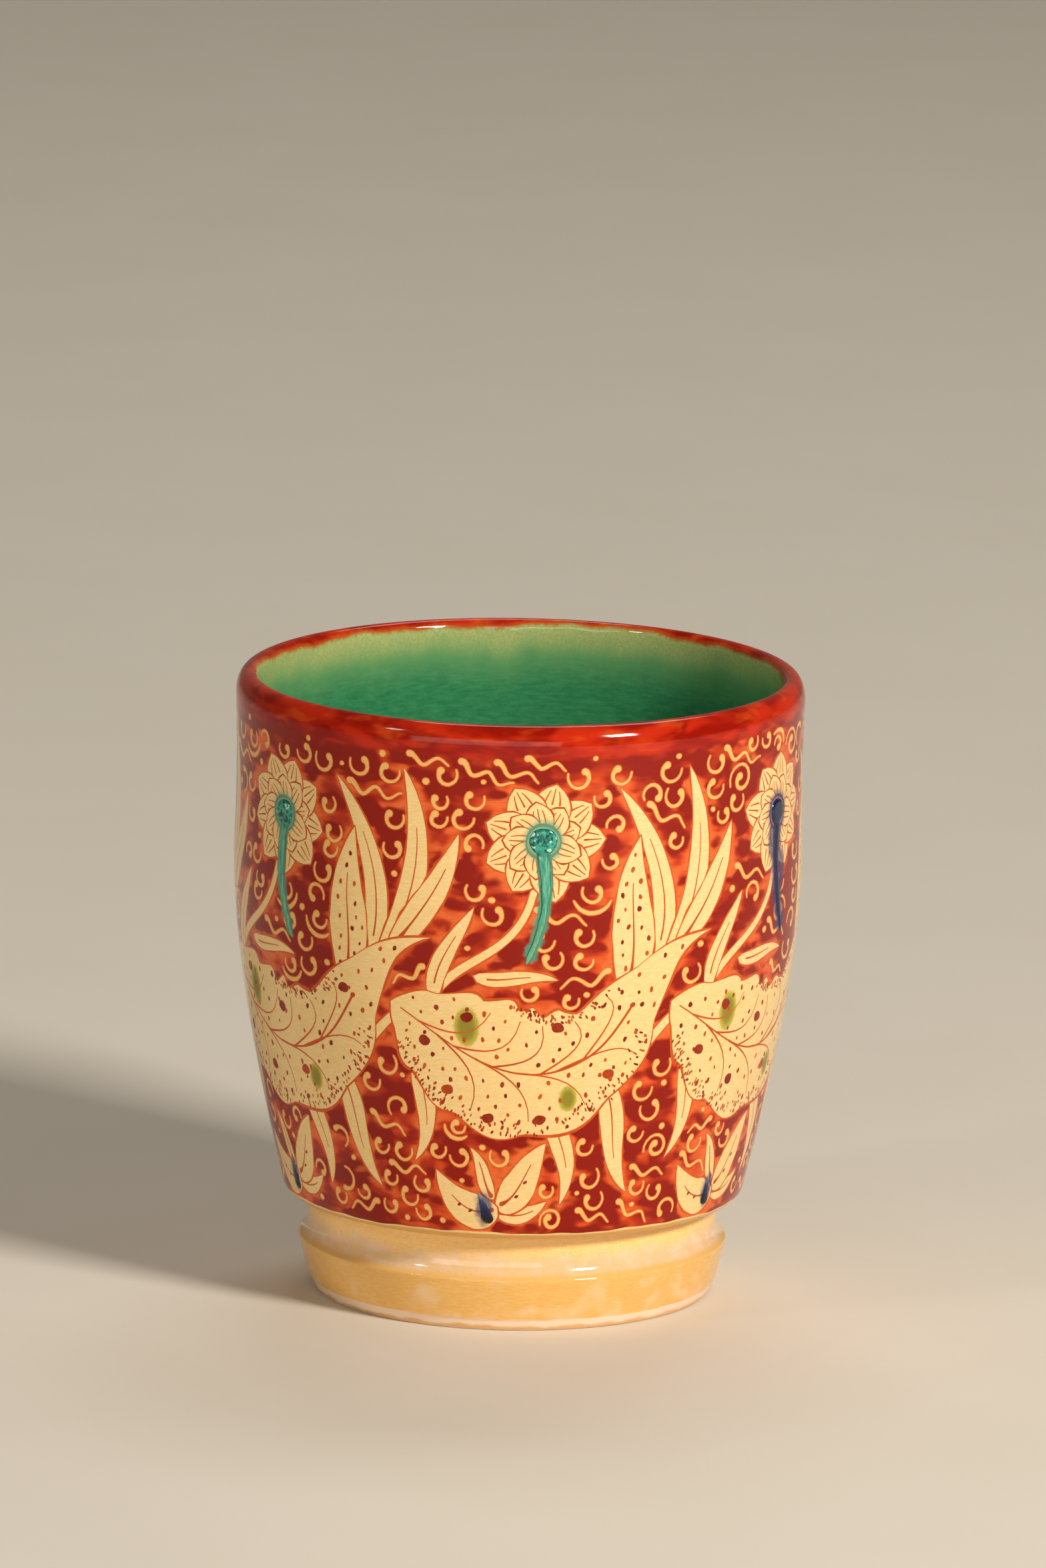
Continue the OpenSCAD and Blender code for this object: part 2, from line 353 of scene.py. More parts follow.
def leaf(art, mid, widest, edge=0.28, base_share=0.55, tip_share=0.9, lobes=0):
    """A cream leaf round a midrib. Its two edges ripple apart, as they do when drawn by hand."""
    t = np.linspace(0, 1, len(mid))
    peak_at = base_share / (base_share + tip_share)
    peak = peak_at ** base_share * (1 - peak_at) ** tip_share
    half = widest * t ** base_share * (1 - t) ** tip_share / peak
    phase = [art.rng.uniform(0, 6) for _ in range(4)]

    def leaf_edge(side, broad, fine, phases, first_lobe):
        width = half * (1 + 0.02 * np.sin(t * broad + phases[0]) + 0.01 * np.sin(t * fine + phases[1]))
        if lobes:
            width *= 0.9 + 0.13 * np.sin(math.pi * ((lobes * t ** 0.85 + first_lobe) % 1) ** 1.6)
        return mid + side * left_of(mid) * width[:, None]

    lower, upper = leaf_edge(-1, 15, 33, phase[2:], 0.45), leaf_edge(1, 17, 37, phase[:2], 0)
    return art.figure(np.concatenate([lower[:-1], upper[::-1][:-1]]), edge), half


def dots(art, outline, spacing, margin, keep_off, gap=0.7):
    for p in art.scatter(outline, spacing, margin, keep_off, gap):
        long = art.rng.uniform(0.32, 0.52)
        art.fleck(p, long, long * art.rng.uniform(0.55, 0.8), 1.45 + art.rng.uniform(-0.35, 0.35),
                  art.rng.choice([0.95, 0.75, 0.5, 0.35]))


def stipple(art, mid, half, side, first, last, count, depth):
    """Dense small dashes along one edge of a leaf, densest at the edge."""
    rng = art.rng
    n = left_of(mid)
    for _ in range(count):
        i = int(rng.uniform(first, last) * (len(mid) - 1))
        within = 0.5 + depth * rng.random() ** 1.7
        if half[i] > within + 0.4:
            at = mid[i] + side * n[i] * (half[i] - within) + (rng.uniform(-0.5, 0.5), 0)
            lean = math.atan2(n[i][1], n[i][0]) + rng.uniform(-0.5, 0.5)
            art.fleck(at, rng.uniform(0.22, 0.4), rng.uniform(0.13, 0.2), lean, rng.uniform(0.3, 1))


def veins(art, mid, half, shares, side, reach):
    """Curved veins from a leaf's midrib towards its edge."""
    n = left_of(mid)
    last = len(mid) - 1
    lines = []
    for share in shares:
        start = mid[int(share * last)]
        j = min(last, int((share + 0.16) * last))
        bend = mid[j] + side * n[j] * half[j] * 0.2
        path = bezier(start, (start + bend) / 2, bend, mid[j] + side * n[j] * half[j] * reach, 9)
        lines.append(art.stroke(path, taper(9, 0.17, 0.08), art.rng.uniform(0.2, 0.5)))
    return lines


def great_leaf(art, spot):
    """The garland's main leaf: dotted, with a hooked midrib, veins and a stippled lower edge."""
    first = bezier((-23, 53), (-15, 49), (-5, 37.5), (7.5, 45), 46)
    second = bezier((7.5, 45), (14.5, 49.2), (15.5, 61.5), (27.5, 63.5), 30)
    mid = spot(np.concatenate([first, second[1:]]))
    last = len(mid) - 1
    outline, half = leaf(art, mid, 10.8, 0.34, 0.85, 1.35, 7)
    for at, side, wide, long in ((0.24, 0.4, 2.3, 3.7), (0.55, -0.5, 1.7, 2.5)):
        i = int(at * last)
        stain = mid[i] + left_of(mid)[i] * half[i] * side
        art.stains.append((stain, wide, long))
        # Rings inside one another give the olive stain points to blend between
        for share in (1.1, 0.85, 0.6, 0.35):
            art.put(CREAM, disc(stain, wide * share, long * share, 0, 16))
    lines = [art.stroke(mid[3:58][::-1], taper(55, 0.2, 0.1), 0.42)]
    art.put(LINE, disc(mid[57], 0.5, 0.4, 0.7, 10, art.rng, 0.1), 0.5)
    lines += veins(art, mid, half, (0.12, 0.24, 0.36, 0.49, 0.6), 1, 0.76)
    lines += veins(art, mid, half, (0.18, 0.3, 0.42, 0.54), -1, 0.72)
    stipple(art, mid, half, -1, 0.1, 0.74, 165, 2.6)
    stipple(art, mid, half, 1, 0.36, 0.8, 60, 1.5)
    large = art.scatter(outline, 7.5, 2.4, lines, 1.5, 250)[:7]
    for p in large:
        art.put(LINE, disc(p, 0.95, 0.85, 0, 14, art.rng, 0.12), art.rng.choice([0.95, 0.85, 0.6]))
    dots(art, outline, 1.85, 0.8, lines + [np.array([p]) for p in large], 0.8)


def small_leaf(art, spot, points, widest):
    """A leaf along a curve of four points, with a rib. Gives its outline and its rib."""
    mid = spot(bezier(*points, 24))
    outline, _ = leaf(art, mid, widest * spot.scale)
    return outline, art.stroke(mid[2:18], taper(16, 0.2, 0.08, 0.2), 0.4)


def dotted_leaf(art, spot, points, widest):
    outline, rib = small_leaf(art, spot, points, widest)
    dots(art, outline, 1.8, 0.75, [rib])


def blade(art, spot, points, widest):
    """A long slim leaf with one line down its middle."""
    mid = spot(bezier(*points, 18))
    leaf(art, mid, widest * spot.scale, 0.24, 0.45, 0.8)
    art.stroke(mid[3:13], taper(10, 0.15, 0.07), 0.35)


def stem(art, spot, points, half):
    path = spot(bezier(*points, 22))
    art.figure(ribbon(path, np.linspace(half, half * 0.7, 22) * spot.scale), 0.24)


def blossom(art, spot, petals=9, radius=9.0):
    """A round flower: two rings of petals round a bare middle, where a glaze run starts."""
    rng = art.rng
    t = np.linspace(0, 1, 12)
    for ring, (reach, wide, first, last) in enumerate(((1.0, 0.35, 0.66, 0.93), (0.66, 0.25, 0.34, 0.84))):
        for k in range(petals):
            a = 2 * math.pi * (k + ring / 2) / petals + rng.uniform(-0.05, 0.05)
            out, across = round_points(1, np.array([a, a + math.pi / 2]))
            length = radius * reach * rng.uniform(0.95, 1.04)
            half = radius * wide * np.sin(math.pi * t ** 1.25) ** 0.7 * (1 - 0.15 * t)
            left, right = (np.outer(length * t, out) + side * np.outer(half, across) for side in (-1, 1))
            petal = spot(np.concatenate([left[:-1], right[::-1][:-1]]))
            if ring == 0:
                art.figures.append(petal)
            art.put(LINE, grown(petal, 0.22), 0.3 + 0.2 * ring)
            art.put(CREAM, petal)
            for side in (-0.42, 0.0, 0.42):
                s = np.linspace(first, last - 0.1 * abs(side), 5)
                line = np.outer(length * s, out) + np.outer(np.interp(s, t, half) * side, across)
                art.stroke(spot(line), taper(5, 0.14, 0.07), rng.uniform(0.2, 0.6))
    for paint, size, tone in ((LINE, 2.75, 0.75), (CREAM, 2.35, 0.0)):
        art.put(paint, spot(disc((0, 0), size, size, 0, 20, rng, 0.05)), tone)


# The leaves of a sprig, lowest first: the four points of each one's curve, and its half-width
SPRIG_LEAVES = (
    ((-0.2, 1.6), (-2.4, 3.6), (-1.6, 7.4), (-4.2, 10.4), 1.25),
    ((0.2, -0.4), (3.2, -1.9), (6.4, -1.4), (9.4, 1.2), 1.5),
    ((0.1, 0.4), (4.6, 1.2), (5.0, 6.8), (8.8, 11.4), 2.9),
    ((0.4, 0.1), (-3.2, -1.9), (-7.4, -0.6), (-10.6, 6.2), 3.1),
)
# The same for the smaller leaves round each blossom's stem, with how each is drawn
SIDE_LEAVES = (
    (blade, (-16, 54), (-16.5, 59), (-13, 63), (-10, 68.5), 1.4),
    (blade, (-10, 58), (-6, 56.5), (-2.5, 59), (2.5, 57.5), 1.1),
    (blade, (16.5, 58), (21.5, 67), (18, 78), (11.5, 86.5), 1.8),
    (blade, (19, 59), (25.5, 68), (27, 79), (23, 89), 1.9),
    (dotted_leaf, (13, 55), (15.5, 63), (12, 69), (14.8, 79), 3.3),
    (small_leaf, (21, 61), (26, 67), (29.5, 72), (31.5, 79.5), 2.1),
    (blade, (-17.5, 47), (-20.5, 40), (-15, 35), (-20.5, 27.5), 1.7),
    (blade, (2.5, 39), (1.5, 33), (7.5, 29), (4.5, 21), 1.8),
    (blade, (9.5, 42), (14.5, 36), (11, 29), (16.5, 22.5), 2.0),
)


def sprig(art, spot):
    """A low plant of four leaves that stands on the heel."""
    for *points, widest in SPRIG_LEAVES:
        small_leaf(art, spot, points, widest)
    for p in ((-4.6, -0.6), (-6.6, 0.4), (3.9, 2.1), (5.4, 4.6)):
        art.fleck(spot(p)[0], 0.42, 0.26, 0.6, 0.85)


# The small cream marks that fill the red ground: each gives its path and half-widths
def arc_mark(radius, first, last, count, grow=0.0):
    t = np.linspace(0, 1, count)
    return round_points(radius * (1 - grow * (1 - t) ** 1.5), np.radians(first + (last - first) * t))


def headed(count, head=0.24, thick=0.3):
    """Half-widths of a mark that starts in a round head and runs out thin."""
    t = np.linspace(0, 1, count)
    return 0.13 + (thick - 0.13) * (1 - t ** 1.6) + head * np.exp(-((t / 0.11) ** 2))


def curl(size):
    return [(arc_mark(1.75 * size, 140, 385, 13, 0.42), headed(13))]


def nested_curl(size):
    arc = arc_mark(2.85 * size, 200, 335, 10)
    return curl(size * 0.92) + [(arc, 0.12 + 0.2 * np.sin(math.pi * np.linspace(0, 1, 10)) ** 0.8)]


def wave(size, long=6.8, beats=2.9, count=17):
    t = np.linspace(0, 1, count)
    rise = 0.82 * np.sin(beats * math.pi * t + 1.2) * (1 - 0.25 * t)
    return [(np.stack([size * long * (t - 0.5), size * rise], 1), headed(count, 0.2))]


def long_wave(size):
    return wave(size, 8.8, 4.1, 22)


def spiral(size):
    path = arc_mark(2.4 * size, 100, 540, 20) * np.linspace(0.2, 1, 20)[:, None] ** 0.8
    return [(path, headed(20, 0.26, 0.32))]


def hook(size):
    """An open arc with a head at its upper end."""
    return [(arc_mark(1.9 * size, 75, 260, 10, 0.2), headed(10, 0.2, 0.27))]


# How often each kind of mark is drawn
MARKS = {wave: 0.38, long_wave: 0.12, curl: 0.28, nested_curl: 0.12, spiral: 0.08, hook: 0.04}
ROW_STEP = 3.5
MARK_TRIES, LARGE_TRIES, DOT_TRIES = 11000, 4500, 2500
GROUND_LOW, GROUND_TOP = RED_EDGE + 0.55, MARKS_TOP + 1.3
# How far a mark's orange line stands out, the bare ground it needs, and the ground it takes up
MARK_LINE, MARK_NEEDS, MARK_TAKES, HEAD_TAKES, DOT_TAKES = 0.13, 0.14, 0.28, 0.24, 5.5


def grid_points(columns, rows):
    return np.stack([side.ravel() for side in np.meshgrid(columns, rows)], 1)


class Ground:
    """A fine grid round the wall that knows where there is still bare red ground."""

    def __init__(self, cell=0.2):
        self.cell = cell
        self.wide, self.high = int(round(TURN / cell)), int((WALL_TOP - WALL_LOW) / cell)
        self.taken = np.zeros((self.high, self.wide), bool)

    def fill(self, outline):
        lo, hi = (((corner - (0, WALL_LOW)) / self.cell).astype(int)
                  for corner in (outline.min(0), outline.max(0)))
        cells = grid_points(np.arange(lo[0] - 1, hi[0] + 2),
                            np.arange(max(lo[1] - 1, 0), min(hi[1] + 2, self.high)))
        u, v = cells[inside(outline, (cells + 0.5) * self.cell + (0, WALL_LOW))].T
        self.taken[v, u % self.wide] = True

    def grow(self, cells):
        """Takes the cells next to the taken ones too."""
        for _ in range(cells):
            grid = self.taken | np.roll(self.taken, 1, 1) | np.roll(self.taken, -1, 1)
            grid[1:] |= self.taken[:-1]
            grid[:-1] |= self.taken[1:]
            self.taken = grid

    def cells_of(self, points):
        return (((points[:, 1] - WALL_LOW) / self.cell).astype(int),
                np.floor(points[:, 0] / self.cell).astype(int) % self.wide)

    def free(self, points):
        if points[:, 1].min() < GROUND_LOW or points[:, 1].max() > GROUND_TOP:
            return False
        return not self.taken[self.cells_of(points)].any()

    def stamp(self, points, reach):
        n = int(reach / self.cell) + 1
        around = grid_points(np.arange(-n, n + 1), np.arange(-n, n + 1))
        around = around[np.hypot(*around.T) * self.cell <= reach]
        i, j = self.cells_of(points)
        rows = np.clip(i[:, None] + around[:, 0], 0, self.high - 1)
        self.taken[rows, (j[:, None] + around[:, 1]) % self.wide] = True


def mark_places(rng):
    """Places to try for a mark: in rows first, and then anywhere. The last number is the round."""
    places = []
    row = RED_EDGE + 2.3
    while row < MARKS_TOP + 0.5:
        u = rng.uniform(0, 4)
        while u < TURN:
            places.append((u + rng.uniform(-0.6, 0.6), row + rng.uniform(-0.5, 0.5), 0))
            u += rng.uniform(1.2, 2.2)
        row += ROW_STEP
    rng.shuffle(places)
    for i in range(MARK_TRIES):
        u, v = rng.uniform(0, TURN), rng.uniform(RED_EDGE + 1.5, MARKS_TOP + 0.6)
        places.append((u, v, 1 if i < LARGE_TRIES else 2))
    return places


def drawn_mark(rng, kind, u, v, round_no):
    """The brush strokes of one mark, with the drift of a hand."""
    size = rng.uniform(0.9, 1.12) if round_no == 0 else rng.uniform(0.74, 0.95)
    if kind in (wave, long_wave):
        lean = rng.uniform(-24, 2)
        flip = rng.choice([1, 1, 1, -1])
    else:
        lean = rng.uniform(-28, 22) + (180 if rng.random() < 0.12 else 0)
        flip = rng.choice([1, 1, -1])
    spot = Spot(u, v, lean * flip, 1.0, flip)
    strokes = []
    for path, half in kind(size):
        steps = [[rng.uniform(-0.045, 0.045), rng.uniform(-0.045, 0.045)] for _ in path]
        strokes.append((spot(path + np.cumsum(steps, 0)), half))
    return strokes


def fill_ground(art):
    """Rows of small cream marks on the red ground, wherever the figures leave room."""
    rng = art.rng
    ground = Ground()
    for outline in art.figures:
        ground.fill(outline)
    ground.grow(2)
    for u, v, round_no in mark_places(rng):
        if not ground.free(disc((u, v), 0.5, 0.5, 0, 6)):
            continue
        for kind in rng.choices(list(MARKS), MARKS.values(), k=3) if round_no < 2 else (curl, wave):
            strokes = drawn_mark(rng, kind, u, v, round_no)
            edges = [path + side * left_of(path) * (half + MARK_NEEDS)[:, None]
                     for path, half in strokes for side in (-1, 0, 1)]
            if ground.free(np.concatenate(edges)):
                for path, half in strokes:
                    ground.stamp(path, half.mean() + MARK_TAKES)
                    ground.stamp(path[:2], half.max() + HEAD_TAKES)
                    art.put(LINE, ribbon(path, half + MARK_LINE, 3), 0.1)
                    art.put(CREAM, ribbon(path, half, 3), 0.5)
                break
    for _ in range(DOT_TRIES):
        at = np.array([[rng.uniform(0, TURN), rng.uniform(RED_EDGE + 1, MARKS_TOP + 0.6)]])
        if ground.free(np.concatenate([disc(at[0], 0.85, 0.85, 0, 8), at])):
            ground.stamp(at, DOT_TAKES)
            size = rng.uniform(0.8, 1.2)
            art.put(LINE, disc(at[0], 0.6 * size, 0.56 * size, 0, 9), 0.1)
            art.put(CREAM, disc(at[0], 0.48 * size, 0.43 * size, 0, 9, rng, 0.15), 0.5)


def heel_edge(art):
    """Below the red the cream ground shows as a thin line; under the heel the glaze is honey."""
    u = np.arange(-1, COLUMNS + 2) * TURN / COLUMNS
    k = 2 * math.pi / TURN
    for edge, tone, sway in ((RED_EDGE, 0.0, 0.12), (CREAM_EDGE, 1.0, 0.07)):
        v = edge + sway * (np.sin(7 * k * u) + 0.7 * np.sin(19 * k * u + 1) + 0.5 * np.sin(43 * k * u + 2))
        low = [[u[0], WALL_LOW - 1], [u[-1], WALL_LOW - 1]]
        art.put(CREAM, np.concatenate([low, np.stack([u, v], 1)[::-1]]), tone)


def run_middle(k, count):
    """The middle line of a glaze run's tail, below its round head."""
    t = np.linspace(0, 1, count)
    across = (1 if k % 3 == 0 else -1) * RUN_SWING * (RUN_BOW * np.sin(math.pi * t) - t ** 2)
    return np.stack([across, -(RUN_HEAD + (RUN_LENGTH - RUN_HEAD) * t)], 1), t


def run_bed(art, k):
    """The dark red that a run's tail draws along its two edges."""
    middle, t = run_middle(k, 24)
    half = RUN_TAIL * (1 + (TAIL_TIP - 1) * t) * (1 - 0.6 * t ** 6)
    spot = Spot(bloom_u(k), BLOOM_V)
    art.stroke(spot(middle[:-1]), (half + 0.3 + 0.07 * np.sin(11 * t + k))[:-1], 0.8)


def paint_wall(seed=11):
    art = Painting(seed)
    here = [Spot(bloom_u(k), 0) for k in range(REPEATS)]
    for spot in here:
        stem(art, spot, ((-30.5, 46.5), (-28, 43), (-26, 49), (-21, 52)), 0.85)
        stem(art, spot, ((-18, 50), (-15, 62), (-4, 59), (-1.3, 71)), 0.7)
    for k, spot in enumerate(here):
        art.rng.seed(seed * 100 + k)
        for draw, *points, widest in SIDE_LEAVES:
            draw(art, spot, points, widest)
        great_leaf(art, spot)
        blossom(art, Spot(spot.u, BLOOM_V, 8 * math.sin(k * 2.1)))
    for k in range(REPEATS):
        sprig(art, Spot(sprig_u(k) + 1.3, RED_EDGE + 4.2, 3 * math.sin(k * 1.7), 0.95))
    fill_ground(art)
    for k in range(REPEATS):
        run_bed(art, k)
    heel_edge(art)
    return art


# Meshes
COLUMNS = 264
ANGLES = math.pi / 2 + np.arange(COLUMNS) * 2 * math.pi / COLUMNS
BACK_ROWS = 20
HALO_REACH = 6.0
# A pad's rim lies a little under the wall's surface, and its underside deeper
PAD_SINK, PAD_DEPTH = 0.03, 0.12


def make_piece(name, points, faces, finish, node, normals=None, values=None):
    """A mesh object on the root body, smooth, with named values at its points for its material."""
    mesh = bpy.data.meshes.new(name)
    mesh.from_pydata([tuple(p) for p in points], [], faces)
    mesh.update()
    for key, column in (values or {}).items():
        layer = mesh.attributes.new(key, "FLOAT", "POINT")
        layer.data.foreach_set("value", np.asarray(column, np.float32))
    mesh.shade_smooth()
    if normals is not None:
        mesh.normals_split_custom_set_from_vertices([tuple(n) for n in normals])
    piece = bpy.data.objects.new(name, mesh)
    bpy.context.scene.collection.objects.link(piece)
    mesh.materials.append(finish)
    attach(piece, "root")
    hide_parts(node)
    return piece


def faces_between(rings):
    """Faces between neighbouring rings of point numbers. A ring of one number is a pole."""
    faces = []
    for ring, after in zip(rings, rings[1:]):
        a, b = (np.resize(numbers, COLUMNS).tolist() for numbers in (ring, after))
        for i in range(COLUMNS):
            j = (i + 1) % COLUMNS
            faces.append(tuple(dict.fromkeys((a[i], a[j], b[j], b[i]))))
    return faces


def ring_numbers(count, start=0):
    return list(start + np.arange(count * COLUMNS).reshape(-1, COLUMNS))


def ease_corner(points, normals, gap, other, width=0.5, depth=0.09):
    """Rounds off the end of a coat towards the coat that it meets, whose way out is given."""
    share = np.clip(1 - gap / width, 0, 1)[:, None] ** 2
    between = unit(normals + turned(other[0], ANGLES, other[1]))
    return points - between * share * depth * MM, unit(normals * (1 - share) + between * share)


def coat(name, line, low, high, rows, finish, node, edge=None, to_middle=False,
         thin_low=0.0, meets_low=None, meets_high=None):
    """A turned coat of glaze between two lengths along a line, which may differ round the mug. It
    may thin out over the last of its length at the low end, and may tell its material how far each
    point is from one edge."""
    low, high = np.broadcast_to(low, COLUMNS), np.broadcast_to(high, COLUMNS)
    lengths = [low * (1 - share) + high * share for share in np.linspace(0, 1, rows + 1)]
    if to_middle:
        lengths.pop()
    points, normals = [], []
    for s in lengths:
        thin = np.clip(1 - (s - low) / thin_low, 0, 1) ** 2 if thin_low else 0
        p, n = place(line, ANGLES, s, -0.8 * GLAZE * thin)
        if meets_low is not None:
            p, n = ease_corner(p, n, s - low, meets_low)
        if meets_high is not None:
            p, n = ease_corner(p, n, high - s, meets_high)
        points.append(p)
        normals.append(n)
    for s in lengths[::-1]:
        p, n = place(line, ANGLES, s, -GLAZE)
        points.append(p)
        normals.append(-n)
    rings = ring_numbers(len(points))
    if to_middle:
        # One point above and one below close the coat in the middle of the floor
        for rise, way in ((0.0, 1), (-GLAZE, -1)):
            points.append([[0, 0, (line.line[-1, 1] + rise) * MM]])
            normals.append([[0, 0, way]])
        top, bottom = [len(rings) * COLUMNS], [len(rings) * COLUMNS + 1]
        faces = faces_between(rings[:rows] + [top]) + faces_between([bottom] + rings[rows:] + rings[:1])
    else:
        faces = faces_between(rings + rings[:1])
    values = None
    if edge:
        near = np.concatenate([s - low if edge == "low" else high - s for s in lengths + lengths[::-1]])
        values = {"from_edge": np.pad(near, (0, 2 * to_middle), constant_values=near.max())}
    make_piece(name, np.concatenate(points), faces, finish, node, np.concatenate(normals), values)


def turned_solid(name, section, finish, node):
    """A solid of revolution round a closed section, with its corners kept sharp."""
    points = np.concatenate([turned(r, ANGLES, z) for r, z in section]) * MM
    rings = ring_numbers(len(section))
    piece = make_piece(name, points, faces_between(rings + rings[:1]), finish, node)
    piece.data.set_sharp_from_angle(angle=math.radians(35))


def wall_place(uv, rise=0.0):
    """Points of the wall at places of the painting, and the wall's normals there."""
    return place(body_line, uv[:, 0] / REF_RADIUS + math.pi / 2, uv[:, 1] - WALL_LOW, rise)


def triangulate(points, loops):
    """Cuts closed loops of point numbers into triangles: their points, corners and loops."""
    out = delaunay_2d_cdt([Vector(p) for p in points], [], loops, 1, 1e-5, True)
    return np.array([tuple(p) for p in out[0]]), np.array(out[2]), out[5]


def cut_painting(art, spacing=1.5):
    """The flat wall in triangles, cut along every painted shape, with the paint of each."""
    columns = np.arange(COLUMNS + 1) * TURN / COLUMNS
    rim = np.concatenate([grid_points(columns, [WALL_LOW]), grid_points(columns, [WALL_TOP])[::-1]])
    outlines, paints = [rim], [(0, 0, 0, 1)]
    for paint, outline, tone in art.shapes:
        if is_clockwise(outline):
            outline = outline[::-1]
        # A figure near the seam is cut on both sides of it; an edge that goes all round is cut once
        for shift in (-TURN, 0, TURN) if np.ptp(outline[:, 0]) < TURN else (0,):
            moved = outline + (shift, 0)
            if moved[:, 0].max() >= 0 and moved[:, 0].min() <= TURN:
                outlines.append(moved)
                paints.append((*paint, tone, 1))
    ends = np.cumsum([len(outline) for outline in outlines])
    loops = [list(range(end - len(outline), end)) for end, outline in zip(ends, outlines)]
    across = np.arange(spacing, TURN - spacing / 2, spacing)
    rows = np.arange(WALL_LOW + spacing, WALL_TOP - spacing / 2, spacing)
    grid = grid_points(across, rows)
    grid[:, 0] += np.repeat(np.arange(len(rows)) % 2 * spacing / 2, len(across))
    grid += np.random.default_rng(3).uniform(-0.1, 0.1, grid.shape)
    spots, corners, within = triangulate(np.concatenate([*outlines, grid]), loops)
    u, v = spots[corners].mean(1).T
    keep = (u > 0) & (u < TURN) & (v > WALL_LOW) & (v < WALL_TOP)
    top = np.array([max(of) if of else 0 for of in within])
    return spots, corners[keep], np.array(paints)[top[keep]]


def join_seam(spots, corners, near=1e-3, steps=500):
    """Lets the two edges of the flat painting, which meet at the back, share their points."""
    alias = np.arange(len(spots))
    taken = {}
    for i in np.nonzero((np.abs(spots[:, 0]) < near) | (np.abs(spots[:, 0] - TURN) < near))[0]:
        key = round(spots[i, 1] * steps)
        alias[i] = next((taken[k] for k in (key, key - 1, key + 1) if k in taken), i)
        if alias[i] == i:
            taken[key] = i
    return alias[corners]


def wash_field(spots, centres, reach):
    """How strong a wash is at points of the painting: it fades out from the middle of each patch."""
    field = np.zeros(len(spots))
    for (u, v), half_wide, half_high in centres:
        du = (spots[:, 0] - u + TURN / 2) % TURN - TURN / 2
        share = 1 - np.hypot(du / half_wide, (spots[:, 1] - v) / half_high)
        field = np.maximum(field, np.clip(share * reach, 0, 1))
    return field


def painted_wall(art, washes, finish):
    """The wall's coat of glaze, its outside cut along every painted shape."""
    spots, corners, paints = cut_painting(art)
    joined = join_seam(spots, corners)
    whole = (joined != np.roll(joined, 1, 1)).all(1)
    corners, paints = corners[whole], paints[whole]
    used, joined = np.unique(joined[whole], return_inverse=True)
    outer = spots[used]

    def rim_ring(height):
        on = np.nonzero(np.abs(outer[:, 1] - height) < 1e-4)[0]
        ring = np.empty(COLUMNS, int)
        ring[np.round(outer[on, 0] % TURN / TURN * COLUMNS).astype(int) % COLUMNS] = on
        return ring

    hidden = grid_points(np.arange(COLUMNS) * TURN / COLUMNS, np.linspace(WALL_TOP, WALL_LOW, BACK_ROWS + 1))
    back, back_normals = wall_place(hidden, -GLAZE)
    rings = [rim_ring(WALL_TOP), *ring_numbers(BACK_ROWS + 1, len(outer)), rim_ring(WALL_LOW)]
    faces = joined.reshape(-1, 3).tolist() + faces_between(rings)
    front, normals = wall_place(outer)
    figures = np.concatenate([between_corners(outline, 4) for outline in art.figures])
    figures = np.concatenate([figures + (shift, 0) for shift in (-TURN, 0, TURN)])
    away = nearest(figures, outer, HALO_REACH)
    values = {"away": np.pad(away, (0, len(back)), constant_values=HALO_REACH)}
    for key, centres, reach in washes:
        values[key] = np.pad(wash_field(outer, centres, reach), (0, len(back)))
    piece = make_piece("wall_painting", np.concatenate([front, back]), faces, finish,
                       "painted_wall_glaze", np.concatenate([normals, -back_normals]), values)
    mesh = piece.data
    tint = np.repeat(paints, 3, 0)
    tint = np.pad(tint, ((0, len(mesh.loops) - len(tint)), (0, 0)))
    paint = mesh.color_attributes.new("Paint", "FLOAT_COLOR", "CORNER")
    paint.data.foreach_set("color", tint.astype(np.float32).ravel())
    # The map lays the two halves of the wall one over the other, and the hidden back beside them
    second = np.repeat(spots[corners][:, :, 0].mean(1) > TURN / 2, 3)
    u, v = spots[corners].reshape(-1, 2).T
    front_map = np.stack([(u - second * TURN / 2) / (TURN / 2) * 0.86,
                          (v - WALL_LOW) / (WALL_TOP - WALL_LOW) * 0.495 + second * 0.505], 1)
    squares = grid_points(np.arange(COLUMNS), np.arange(len(rings) - 1))[:, None]
    column, ring = (squares + ((0, 0), (1, 0), (1, 1), (0, 1))).reshape(-1, 2).T
    back_map = np.stack([0.88 + 0.12 * ring / (len(rings) - 1), column / COLUMNS], 1)
    layer = mesh.uv_layers.new(name="OFBake")
    layer.data.foreach_set("uv", np.concatenate([front_map, back_map]).astype(np.float32).ravel())


